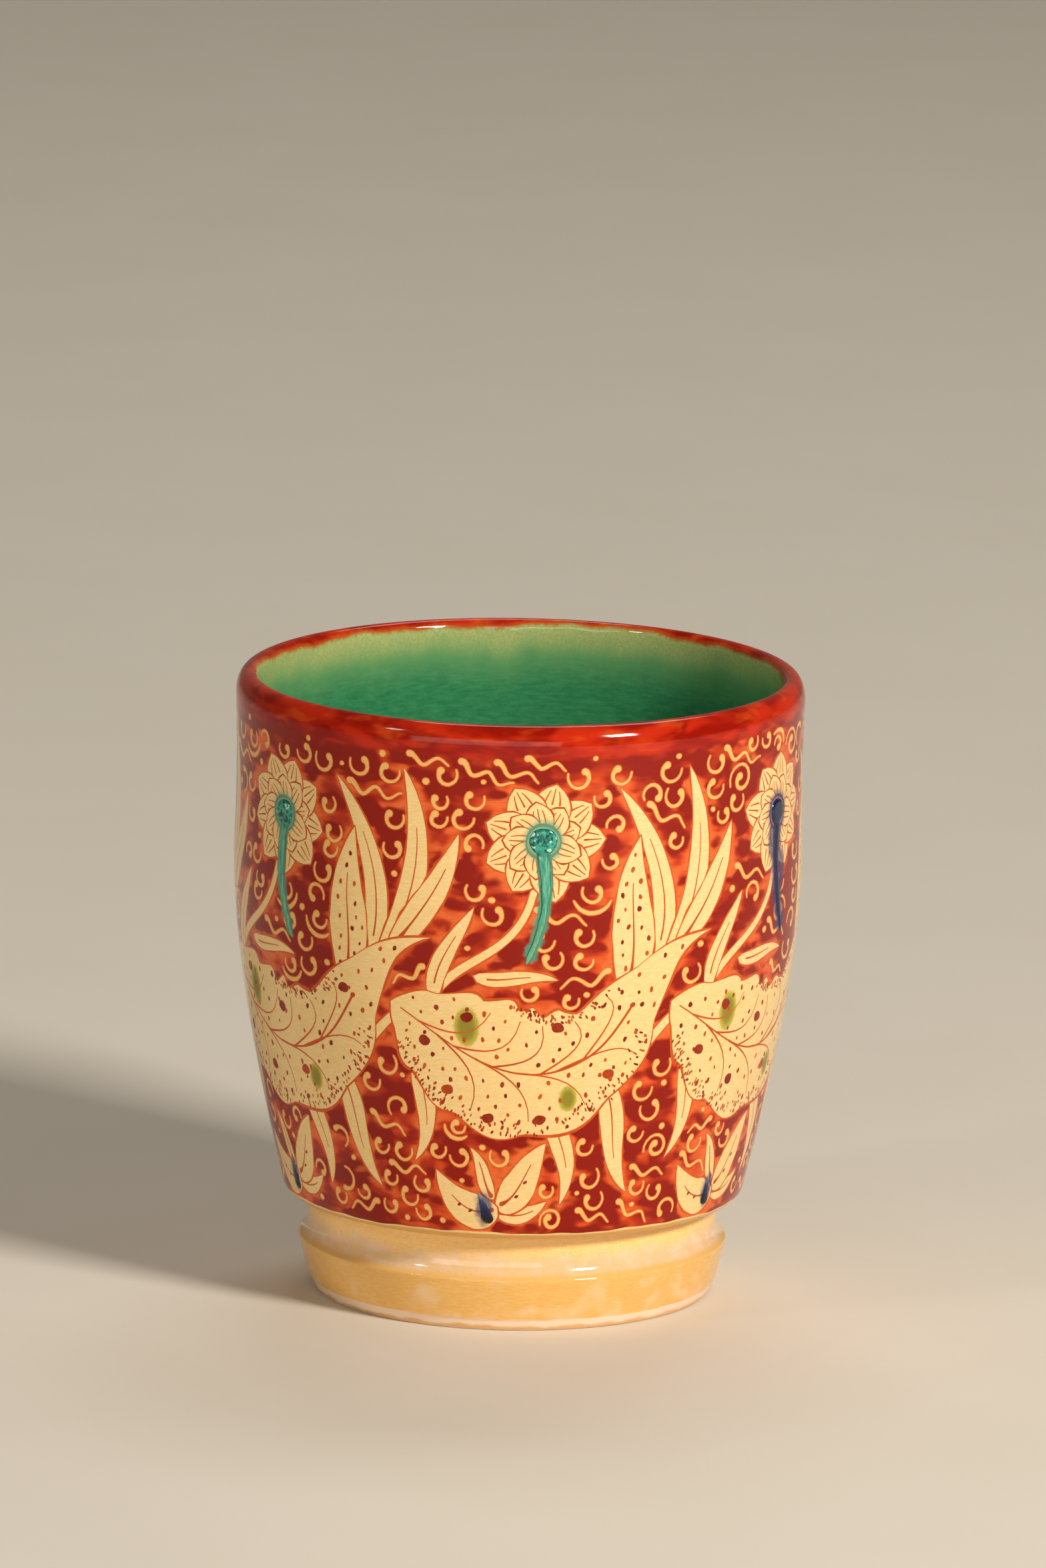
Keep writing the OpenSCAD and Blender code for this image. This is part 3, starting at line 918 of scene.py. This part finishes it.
def glaze_pads(name, shapes, finish, node, relief=0.3, round_off=0.9, spacing=0.28, swell=0.0):
    """Raised pads of glaze on the wall, each domed from its own outline, and thinner at its top by
    the swell. Gives the material the distance from the pad's edge and the share of the way down."""
    points, faces, edge, down = [], [], [], []
    for outline in shapes:
        lo, hi = outline.min(0), outline.max(0)
        grid = grid_points(np.arange(lo[0], hi[0], spacing), np.arange(lo[1], hi[1], spacing))
        grid = grid[inside(outline, grid)]
        fine = between_corners(outline, 2)
        grid = grid[nearest(fine, grid) > spacing * 0.45]
        flat, corners, _ = triangulate(np.concatenate([outline, grid]), [list(range(len(outline)))])
        inward = nearest(fine, flat)
        inward[:len(outline)] = 0
        share = np.clip(inward / round_off, 0, 1)
        share_down = (hi[1] - flat[:, 1]) / (hi[1] - lo[1])
        rise = relief * np.sqrt(1 - (1 - share) ** 2) * (1 - swell * (1 - share_down))
        surface, out_way = wall_place(flat)
        start, count = sum(map(len, points)), len(flat)
        points += [surface + out_way * ((rise - PAD_SINK) * MM)[:, None],
                   surface - out_way * (PAD_SINK + PAD_DEPTH) * MM]
        top = start + corners[inside(outline, flat[corners].mean(1))]
        i = start + np.arange(len(outline))
        j = np.roll(i, -1)
        faces += top.tolist() + (top[:, ::-1] + count).tolist()
        faces += np.stack([i, i + count, j + count, j], 1).tolist()
        edge += [inward, inward]
        down += [share_down, share_down]
    values = {"from_edge": np.concatenate(edge), "down": np.concatenate(down)}
    piece = make_piece(name, np.concatenate(points), faces, finish, node, None, values)
    piece.data.set_sharp_from_angle(angle=math.radians(60))


def run_outline(k):
    """A run's outline: a round head, and a tail that swings to one side as it narrows."""
    middle, t = run_middle(k, 28)
    uneven = 1 + 0.1 * np.sin(9 * t + k) + 0.06 * np.sin(23 * t + 2 * k)
    half = RUN_TAIL * (1 + (TAIL_TIP - 1) * t) * np.sqrt(np.clip((1 - t) / 0.05, 0, 1)) * uneven
    neck = math.asin(RUN_TAIL / RUN_HEAD)
    a = np.linspace(neck - math.pi / 2, 1.5 * math.pi - neck, 34)
    head = round_points(RUN_HEAD * (1 + 0.03 * np.sin(3 * a + k)), a)
    aside = np.stack([half, half * 0], 1)
    return np.concatenate([head, (middle - aside)[1:], (middle + aside)[1:-1][::-1]]) + (bloom_u(k), BLOOM_V)


def drop_lean(k):
    """How far a drop's top leans over to the left."""
    return 1.1 + 0.75 * math.cos(2.9 * k)


def drop_outline(k):
    """A drop's outline: a drawn-out top that leans over and a blunt round foot."""
    t = np.linspace(0, 1, 19)
    half = DROP_HALF * (0.2 + 0.78 * t ** 1.1)
    half *= np.sqrt(np.clip((1 - t) / 0.16, 0, 1)) * np.sqrt(np.clip(t / 0.02, 0, 1))
    lean = -drop_lean(k) * (1 - t) ** 1.2
    v = DROP_HIGH - (DROP_HIGH - DROP_LOW) * t
    left, right = np.stack([lean - half * 1.02, v], 1), np.stack([lean + half * 0.96, v], 1)
    return np.concatenate([left, right[1:-1][::-1]]) + (sprig_u(k) + DROP_ASIDE, 0)


def run_washes(ks, wide=1.7, strokes=()):
    """Where a run's colour bleeds into the painting round it: places and their half-sizes."""
    spots = []
    for k in ks:
        middle, t = run_middle(k, 9)
        tail = [(x, y, wide - 0.5 * share, 2.2) for (x, y), share in zip(middle[:-1], t)]
        for u, v, half_wide, half_high in [(0, 0, 4.0, 4.4), *strokes, *tail]:
            spots.append(((bloom_u(k) + u, BLOOM_V + v), half_wide, half_high))
    return spots


# Materials
def srgb(code):
    """A colour written as a web code, as the linear values that shaders take."""
    parts = [int(code[i:i + 2], 16) / 255 for i in (1, 3, 5)]
    return tuple(c / 12.92 if c < 0.04045 else ((c + 0.055) / 1.055) ** 2.4 for c in parts) + (1.0,)


def by_node(operation, swapped=False):
    """A method that works out an operation on two values by a node."""
    return lambda a, b: a.finish.math(operation, b, a) if swapped else a.finish.math(operation, a, b)


class Value:
    """A number that varies over a surface. Sums and products of it are nodes of its material."""

    __add__, __mul__, __truediv__ = by_node("ADD"), by_node("MULTIPLY"), by_node("DIVIDE")
    __sub__, __rsub__ = by_node("SUBTRACT"), by_node("SUBTRACT", True)
    __pow__, __rpow__ = by_node("POWER"), by_node("POWER", True)
    __lt__, __gt__ = by_node("LESS_THAN"), by_node("GREATER_THAN")

    def __init__(self, finish, socket):
        self.finish, self.socket = finish, socket

    def span(self, low, high, to_low=0.0, to_high=1.0):
        """Takes the value from one range to another, eased at both ends and held outside."""
        parts = enumerate((self, low, high, to_low, to_high))
        node = self.finish.node("MapRange", parts, interpolation_type="SMOOTHSTEP")
        return Value(self.finish, node.outputs[0])


class Finish:
    """A procedural material, with short calls for the nodes that it is made of."""

    def __init__(self, name, roughness=0.07, shine=0.5):
        self.material = bpy.data.materials.new(name)
        self.material.use_nodes = True
        self.tree = self.material.node_tree
        self.shader = self.tree.nodes["Principled BSDF"]
        self.shader.inputs["Roughness"].default_value = roughness
        self.shader.inputs["Specular IOR Level"].default_value = shine
        self.here = self.node("TexCoord").outputs["Object"]

    def node(self, kind, inputs=(), **settings):
        node = self.tree.nodes.new("ShaderNode" + kind)
        for key, value in settings.items():
            setattr(node, key, value)
        for key, value in dict(inputs).items():
            self.feed(node.inputs[key], value)
        return node

    def feed(self, socket, value):
        """Sets a socket to a number or a web code, or links a value or another socket to it."""
        value = value.socket if isinstance(value, Value) else value
        if isinstance(value, bpy.types.NodeSocket):
            self.tree.links.new(value, socket)
        else:
            socket.default_value = srgb(value) if isinstance(value, str) else value

    def math(self, operation, a, b, clamp=False):
        node = self.node("Math", enumerate((a, b)), operation=operation, use_clamp=clamp)
        return Value(self, node.outputs[0])

    def mix(self, share, a, b):
        """From colour a where the share is 0 to colour b where it is 1."""
        # The mix node has its sockets for colours after those for numbers and vectors
        return self.node("Mix", {0: share, 6: a, 7: b}, data_type="RGBA", clamp_factor=True).outputs[2]

    def layers(self, colour, *over):
        """A colour with others laid over it, each given as its share and its colour."""
        for share, top in over:
            colour = self.mix(share, colour, top)
        return colour

    def apart(self, kind, value):
        """The three parts of a colour or a place."""
        return [Value(self, socket) for socket in self.node(kind, {0: value}).outputs]

    def value(self, name):
        """A value that the mesh carries at its points."""
        return Value(self, self.node("Attribute", attribute_name=name).outputs["Fac"])

    def texture(self, kind, size, stretch, seed, **inputs):
        """A texture with features about as large as size, in millimetres. It varies faster along
        an axis with a larger stretch."""
        where = self.here
        if stretch != (1, 1, 1):
            where = self.node("Mapping", {"Vector": where, "Scale": stretch}).outputs[0]
        inputs.update(Vector=where, W=seed, Scale=1 / (size * MM))
        return self.node("Tex" + kind, inputs, **{kind.lower() + "_dimensions": "4D"}).outputs

    def noise(self, size, detail=3.0, rough=0.5, stretch=(1, 1, 1), warp=0.0, seed=0.0):
        """Noise from 0 to 1."""
        return Value(self, self.texture("Noise", size, stretch, seed, Detail=detail, Roughness=rough,
                                        Distortion=warp)[0])

    def sway(self, amount, *noise, **more):
        """Noise that sways to both sides of zero."""
        return (self.noise(*noise, **more) - 0.5) * amount

    def specks(self, size, seed, radius, stretch=(1, 1, 1)):
        """Small scattered dots."""
        return Value(self, self.texture("Voronoi", size, stretch, seed)["Distance"]) < radius

    def height(self):
        return self.apart("SeparateXYZ", self.here)[2] / MM

    def relief(self, value, depth):
        """Bump with a depth in millimetres."""
        node = self.node("Bump", {"Height": value, "Distance": depth * MM, "Strength": 1.0})
        self.feed(self.shader.inputs["Normal"], node.outputs[0])

    def done(self, colour, roughness=None):
        self.feed(self.shader.inputs["Base Color"], colour)
        if roughness is not None:
            self.feed(self.shader.inputs["Roughness"], roughness)
        return self.material


# Heights, and a radius, over which the glazes blend into one another, and where painted light is laid on the
# cove's honey and on the foot's pale line
LOW_RED, RIM_BAND = (HEEL_Z, 21.0), (91.5, 92.3)
COVE_EDGE, COVE_HONEY_AND_PAINTED_LIGHT = (8.5, 9.3), (10.4, 12.9)
FOOT_CLOUDS, FOOT_BEVEL_PALE_AND_HIGHLIGHT, FOOT_PALE_AND_HIGHLIGHT, FOOT_OUTSIDE = (2.5, 8.0), (1.5, 2.0), (0.45, 1.0), (29.95, 30.2)


def red_ground(f, near):
    """Brushed red: orange where the paint is thin, as round the figures, with dark strokes over it."""
    patch = f.noise(8.5, 1, 0.4, (1, 1, 1.4), 0.4)
    brush = f.noise(3.4, 1, 0.4, (0.9, 0.9, 1.8), 0.4, 3)
    low = 1 - f.height().span(*LOW_RED)
    thick = patch * 0.5 + brush * 0.5 - (near * 0.2 + low * 0.06)
    second = f.noise(5, 1, 0.4, (1, 1, 1.6), 0.5, 11) * 0.45 + thick * 0.55
    streak = f.noise(1.3, 2, 0.5, (1, 1, 4), 0.3, 5).span(0.5, 0.75)
    return f.layers("#e26830", (thick.span(0.28, 0.42), "#cc4418"), (thick.span(0.37, 0.47), "#ab2c10"),
                    (second.span(0.41, 0.49), "#8b1505"), (streak * 0.3, "#991c08"))


def rim_red(f):
    """The darker, glossier red of the band at the lip, which glows orange where it runs thin."""
    glow = f.noise(6, 2, 0.45, (0.8, 0.8, 2.4), 0.4, 21).span(0.4, 0.64)
    patch = f.noise(3.4, 2, 0.45, (0.7, 0.7, 2), 0.3, 22).span(0.52, 0.74)
    return f.layers("#8f1205", (glow, "#bd290e"), (patch * 0.5, "#dc531c"))


def red_shine(f):
    """The same skin for the wall and the lip, whose glazes run into one another."""
    f.relief(f.noise(2.6, 2, stretch=(1, 1, 1.4), seed=8), 0.012)
    f.feed(f.shader.inputs["Roughness"], f.noise(1.6, 2, seed=10).span(0.3, 0.8, 0.06, 0.12))


def painted_cream(f, tone):
    """The cream ground where it shows: warmer in the small marks, and stained olive in places."""
    grain = f.noise(0.35, 3, 0.6, (0.35, 0.35, 2.2), 0, 2).span(0.3, 0.75)
    broad = f.noise(9, 2, warp=0.3, seed=6).span(0.45, 0.75)
    stain = f.value("olive")
    olive = (stain + f.noise(0.8, 2, seed=14) * 0.35).span(0.3, 0.7)
    return f.layers("#e9c27c", (grain, "#f4d496"), (broad * 0.4, "#f2cd98"),
                    (f.specks(1.5, 3, 0.06, (0.6, 0.6, 1.9)) * 0.55, "#a86f35"),
                    (olive * 0.92, f.mix(stain.span(0.6, 1.0), "#aea12a", "#80780f")),
                    (tone.span(0.2, 0.45), f.mix(grain, "#e2ac5c", "#ecbd72")),
                    (tone.span(0.7, 0.95), "#dba85a"))


def wall_finish():
    """The mesh's own colours tell where the painting is cream and where it is a line."""
    f = Finish("painted red glaze", 0.1, 0.24)
    cream, line, tone = f.apart("SeparateColor", f.node("VertexColor", layer_name="Paint").outputs[0])
    near = math.e ** (f.value("away") * -0.9)
    band = (f.height() + f.noise(6, 2, stretch=(1, 1, 0.3), seed=9) * 2.4).span(*RIM_BAND)
    thick = f.math("ADD", tone, f.sway(0.5, 0.9, 2, seed=4), clamp=True)
    ripple = (f.noise(0.9, 3, seed=15) - 0.25) * 0.5
    green, blue = f.value("green") + ripple, f.value("blue") + ripple
    red_shine(f)
    return f.done(f.layers(red_ground(f, near), (band, rim_red(f)),
                           (line, f.mix(thick, "#dc5f22", "#7d1408")), (cream, painted_cream(f, tone)),
                           (green.span(0.3, 0.8) * 0.8, "#3b9a7b"), (blue.span(0.2, 0.75) * 0.78, "#232e5c")))


def lip_finish():
    f = Finish("lip red glaze", 0.07, 0.24)
    edge = 1 - (f.value("from_edge") + f.noise(0.9, 3, 0.6, seed=2)).span(0.5, 1.3)
    red_shine(f)
    return f.done(f.mix(edge * 0.75, rim_red(f), "#c8541d"))


def liner_finish():
    """Green below, paler and yellower towards the lip, with a burnt edge."""
    f = Finish("green liner glaze")
    mottle = f.noise(1.1, 4, 0.6, (0.45, 0.45, 1.9), 0.2, 1)
    fine = f.noise(0.4, 3, 0.6, seed=5)
    depth = f.value("from_edge") + f.sway(3.6, 8, 3, 0.6, (1, 1, 0.5), seed=6)
    pale = 1 - depth.span(0.8, 5.5)
    ragged = f.value("from_edge") + f.noise(0.8, 3, 0.6, seed=9) * 1.2
    f.relief(f.noise(1.8, 2, seed=8), 0.018)
    return f.done(f.layers("#2b794b", (mottle.span(0.26, 0.78), "#439160"),
                           (fine.span(0.5, 0.75) * 0.2, "#69a67b"), (1 - depth.span(2.0, 10.5), "#6c9f62"),
                           (pale, f.mix(fine.span(0.35, 0.7), "#9eae66", "#b9bd7a")),
                           (1 - ragged.span(0.5, 1.4), "#b0692a"),
                           (f.specks(2.1, 2, 0.08) * pale * 0.7, "#c07a35")))


def cove_finish():
    """Milky in the groove and honey above it. The honey is painted paler than the foot's honey, as painted
    light that makes up for the shade under the heel.
    """
    f = Finish("milky cove glaze")
    cloud = f.noise(3.2, 3, 0.5, (1, 1, 1.6), 0.3, 1).span(0.38, 0.7)
    grain = f.noise(0.7, 3, 0.6, (0.7, 0.7, 3), 0, 2).span(0.3, 0.7)
    wander = f.sway(3.0, 5, 3, 0.55, (1, 1, 0.6), seed=3)
    edge = 1 - (f.height() + wander * 0.2).span(*COVE_EDGE)
    blotch = f.noise(1.5, 3, 0.6, (1, 1, 1.6), 0.4, 12).span(0.56, 0.76)
    fine = f.noise(0.28, 2, 0.6, (0.7, 0.7, 1.4), 0, 13).span(0.5, 0.75)
    f.relief(f.noise(2.4, 2, stretch=(1, 1, 1.5), seed=8), 0.02)
    return f.done(f.layers(f.mix(cloud, "#e6bf8c", "#ebcaa8"),
                           # The honey band under the heel is partly real honey glaze and partly painted
                           # light: its colours are paler than the glaze to offset the heel's shade
                           ((f.height() + wander).span(*COVE_HONEY_AND_PAINTED_LIGHT), f.mix(grain, "#f9c673", "#fdd38a")),
                           (edge * 0.85, "#e8b662"), (blotch * 0.4, "#e6b569"), (fine * 0.3, "#d79a4a"),
                           (f.specks(1.4, 5, 0.06, (0.7, 0.7, 1.6)) * 0.5, "#a9763a")))


def foot_finish():
    f = Finish("honey foot glaze", 0.08)
    grain = f.noise(0.5, 3, 0.6, (0.4, 0.4, 2.6), 0, 2).span(0.3, 0.72)
    cloud = f.noise(4.2, 1, 0.5, (1, 1, 1.5), 0.3, 6) + f.height().span(*FOOT_CLOUDS, 1.0, 0.0) * 0.07
    # A pale band low on the foot coat: partly pale glaze at the bevel and partly a painted highlight along
    # the bottom edge
    pale_bevel_and_highlight = 1 - (f.height() + f.sway(0.8, 4, 2, seed=3)).span(*FOOT_BEVEL_PALE_AND_HIGHLIGHT)
    f.relief(f.noise(2.4, 2, stretch=(1, 1, 1.5), seed=8), 0.02)
    return f.done(f.layers("#e5ae5a", (grain, "#f0bd6e"), (cloud.span(0.48, 0.8) * 0.55, "#efd2a8"),
                           (pale_bevel_and_highlight * 0.85, "#f2d9c2"),
                           (f.specks(1.6, 7, 0.05, (0.7, 0.7, 1.6)) * 0.55, "#8f5d28")))


def bare_clay(f):
    grain = f.noise(0.5, 4, 0.65, (0.6, 0.6, 2.5), 0, 1)
    return f.mix(grain.span(0.3, 0.72), "#d8b397", "#ecd6c3")


def clay_finish():
    f = Finish("bare buff clay", 0.8, 0.36)
    f.relief(f.noise(0.35, 4, 0.6, (0.5, 0.5, 2.2), seed=3), 0.05)
    return f.done(f.mix(f.specks(1.1, 4, 0.09) * 0.5, bare_clay(f), "#9c7355"))


def foot_clay_finish():
    """Bare clay whose outer edge has a thin shine of wiped glaze, tan low down and pale above it. The pale
    line is partly wiped glaze and partly a painted highlight.
    """
    f = Finish("bare foot clay", 0.8, 0.36)
    x, y, _ = f.apart("SeparateXYZ", f.here)
    outer = ((x ** 2 + y ** 2) ** 0.5 / MM).span(*FOOT_OUTSIDE)
    # Pale above the lowest stretch of the outer edge: partly wiped glaze and partly a painted highlight line
    pale = (f.height() + f.sway(1.6, 3.5, 3, 0.5, (1, 1, 0.5), seed=3)).span(*FOOT_PALE_AND_HIGHLIGHT)
    colour = f.mix(outer, bare_clay(f), f.mix(pale, "#d9ab70", "#f0d3b6"))
    return f.done(colour, outer.span(0.0, 1.0, 0.8, 0.16))


def slip_finish():
    f = Finish("cream slip", 0.6, 0.36)
    grain = f.noise(0.4, 3, 0.6, (0.4, 0.4, 2.2), 0, 2)
    return f.done(f.mix(grain.span(0.3, 0.75), "#e3ba70", "#efcf8f"))


def green_run_finish():
    """Copper green that has run down: crystals in the round head, with pale flecks among them as painted
    glints, and streaks in the tail.
    """
    f = Finish("copper green run", 0.06)
    down = f.value("down")
    first, second, third = f.apart("SeparateColor", f.texture("Voronoi", 0.42, (1, 1, 1), 2)["Color"])
    # The near-white flecks are partly pale crystals and partly painted highlights, standing in for glints off
    # the crystals
    gem_and_glints = f.layers("#0f6255", (first.span(0.2, 0.9), "#38a489"), (second > 0.93, "#a9dcc6"),
                   (third < 0.14, "#083d38"))
    streak = f.noise(0.7, 4, 0.6, (2.4, 2.4, 0.35), 0.2, 5)
    edge = 1 - f.value("from_edge").span(0.02, 0.26)
    f.relief(f.noise(0.6, 3, 0.6, seed=8), 0.03)
    return f.done(f.layers("#1f8068", (streak.span(0.32, 0.66), "#66b795"),
                           (down.span(0.5, 1.0) * 0.4, "#86b583"), (1 - down.span(0.15, 0.25), gem_and_glints),
                           (edge * 0.75, "#1f4c3c")))


def blue_run_finish():
    f = Finish("cobalt blue run", 0.06)
    streak = f.noise(0.7, 4, 0.6, (2.2, 2.2, 0.4), 0.2, 5)
    edge = 1 - f.value("from_edge").span(0.02, 0.4)
    f.relief(f.noise(0.6, 3, 0.6, seed=8), 0.03)
    return f.done(f.layers("#070a26", (streak.span(0.34, 0.7), "#152754"), (edge * 0.65, "#28325c")))


def blue_drop_finish():
    """Cobalt that has run down: pale and thin at the drop's top, near black at its foot."""
    f = Finish("cobalt blue drop", 0.06)
    down = f.value("down") + f.sway(0.5, 0.6, 3, 0.6, (2.2, 2.2, 0.5), 0.2, 5)
    f.relief(f.noise(0.6, 3, 0.6, seed=8), 0.02)
    return f.done(f.layers("#8f8f84", (down.span(0.0, 0.3), "#3a4f74"), (down.span(0.2, 0.45), "#111f4c"),
                           (down.span(0.45, 0.8), "#05081e")))


# The mug
# Broader strokes of cobalt beside the blue runs: places from the run's head and half-sizes
BLUE_STROKES = ((-1.5, -4.2, 1.9, 4.2), (1.3, -8.4, 1.7, 3.8), (-0.8, -11.4, 1.5, 2.8))
repeats = range(REPEATS)
drop_middle = (DROP_LOW + DROP_HIGH) / 2 - 0.2
drop_washes = [((sprig_u(k) + DROP_ASIDE - 0.45 * drop_lean(k), drop_middle), 1.9, 3.7)
               for k in repeats]
art = paint_wall()
washes = [("olive", art.stains, 2.0), ("green", run_washes(GREEN_RUNS), 1.5),
          ("blue", run_washes(BLUE_RUNS, 2.5, BLUE_STROKES) + drop_washes, 1.4)]
painted_wall(art, washes, wall_finish())

# The red of the lip ends inside a little short of the CAD's line, and its edge wavers
RED_SHORT = 0.55
waves = ((3, 0.3, 1), (7, 0.25, 2), (16, 0.18, 0), (37, 0.12, 4))
waver = sum(size * np.sin(count * ANGLES + start) for count, size, start in waves)
red_end = WALL_AND_LIP - RED_SHORT + waver
coat("lip_coat", body_line, WALL_LENGTH, red_end, 30, lip_finish(), "lip_glaze", "high")
coat("liner_coat", body_line, red_end, body_line.length, 110, liner_finish(),
     "liner_glaze", "low", to_middle=True)
coat("cove_coat", cove_line, 0.0, cove_line.length, 34, cove_finish(), "cove_glaze",
     meets_low=foot_line.at(foot_line.length)[2:])
coat("foot_coat", foot_line, 0.0, foot_line.length, 34, foot_finish(), "foot_glaze",
     thin_low=0.7, meets_high=cove_line.at(0.0)[2:])

ring = section_of("foot_ring")
middle = ring.mean(0)
ring = ring[np.argsort(-np.arctan2(ring[:, 1] - middle[1], ring[:, 0] - middle[0]))]
# The edge that the mug stands on, its outermost lowest one, is rubbed round
RUBBED = 0.4
i = int(np.argmax(ring[:, 0] - 100 * ring[:, 1]))
corner = ring[i]
ends = corner + RUBBED * unit(ring[i - 1] - corner), corner - (RUBBED, 0)
rubbed = bezier(ends[0], (ends[0] + 2 * corner) / 3, (ends[1] + 2 * corner) / 3, ends[1], 6)
ring = np.concatenate([ring[:i], rubbed, ring[i + 1:]])
turned_solid("foot_clay", ring, foot_clay_finish(), "foot_ring")
for name, finish in (("clay_body", clay_finish()), ("slip_coat", slip_finish())):
    slot = frame["nodes"][name].material_slots[0]
    slot.link = "OBJECT"
    slot.material = finish

green, blue = green_run_finish(), blue_run_finish()
glaze_pads("green_runs", [run_outline(k) for k in GREEN_RUNS], green, "green_glaze_runs")
glaze_pads("blue_runs", [run_outline(k) for k in BLUE_RUNS], blue, "blue_glaze_runs")
glaze_pads("blue_drops", [drop_outline(k) for k in repeats], blue_drop_finish(),
           "blue_glaze_drops", round_off=0.8, spacing=0.25, swell=0.7)


def sweep(name, half_width=4.0, front=-3.4, back=3.2, radius=1.6, height=4.5):
    """The floor, in metres, which sweeps up into a backdrop far behind the mug."""
    line = [(front, 0.0), (back - radius, 0.0)]
    for a in np.linspace(0, math.pi / 2, 25)[1:]:
        line.append((back - radius + radius * math.sin(a), radius - radius * math.cos(a)))
    line.append((back, height))
    points = [(x, y, z) for y, z in line for x in (-half_width, half_width)]
    faces = [(i, i + 1, i + 3, i + 2) for i in range(0, len(points) - 2, 2)]
    mesh = bpy.data.meshes.new(name)
    mesh.from_pydata(points, [], faces)
    mesh.shade_smooth()
    floor = bpy.data.objects.new(name, mesh)
    bpy.context.scene.collection.objects.link(floor)
    f = Finish("studio floor", 0.7, 0.36)
    mesh.materials.append(f.done(f.mix(f.noise(40), "#e2d8c6", "#e8dfcf")))


def softbox(name, azimuth, elevation, distance, size, power, tint=(1, 1, 1)):
    """An area lamp aimed at the mug. Azimuth is counted from the camera's side towards the right."""
    lamp = bpy.data.lights.new(name, "AREA")
    lamp.shape = "RECTANGLE"
    lamp.size, lamp.size_y = size
    lamp.energy = power
    lamp.color = tint
    a, e = math.radians(azimuth), math.radians(elevation)
    way = Vector((math.sin(a) * math.cos(e), -math.cos(a) * math.cos(e), math.sin(e)))
    holder = bpy.data.objects.new(name, lamp)
    holder.location = Vector((0, 0, 0.05)) + way * distance
    holder.rotation_euler = (-way).to_track_quat("-Z", "Y").to_euler()
    bpy.context.scene.collection.objects.link(holder)


# The studio
sweep("studio_floor")
softbox("key_window", 44, 31, 1.6, (0.3, 0.26), 24.2, (1.0, 0.96, 0.91))
softbox("left_window", -56, 32, 1.9, (0.17, 0.2), 2.6, (1.0, 0.97, 0.93))
softbox("front_fill", -14, 9, 2.6, (3.0, 0.8), 19, (1.0, 0.94, 0.86))
softbox("back_top", 170, 55, 1.7, (0.9, 0.5), 6)

world = bpy.data.worlds.new("studio")
world.use_nodes = True
world.node_tree.nodes["Background"].inputs["Color"].default_value = (0.52, 0.475, 0.41, 1)
world.node_tree.nodes["Background"].inputs["Strength"].default_value = 0.16
bpy.context.scene.world = world
bpy.context.scene.view_settings.view_transform = "Standard"

# The camera, placed by the ellipses of the rim and the foot in the photo
camera = bpy.data.cameras.new("camera")
camera.sensor_width = 36
camera.lens = 356.4
camera.clip_start, camera.clip_end = 0.05, 20
viewer = bpy.data.objects.new("camera", camera)
viewer.location = (0, -2.3, 0.560)
aim = Vector((0.00057, 0, 0.0778))
turn = (aim - viewer.location).to_track_quat("-Z", "Y").to_matrix().to_4x4()
viewer.matrix_world = Matrix.Translation(viewer.location) @ turn @ Matrix.Rotation(math.radians(0.9), 4, "Z")
bpy.context.scene.collection.objects.link(viewer)
bpy.context.scene.camera = viewer
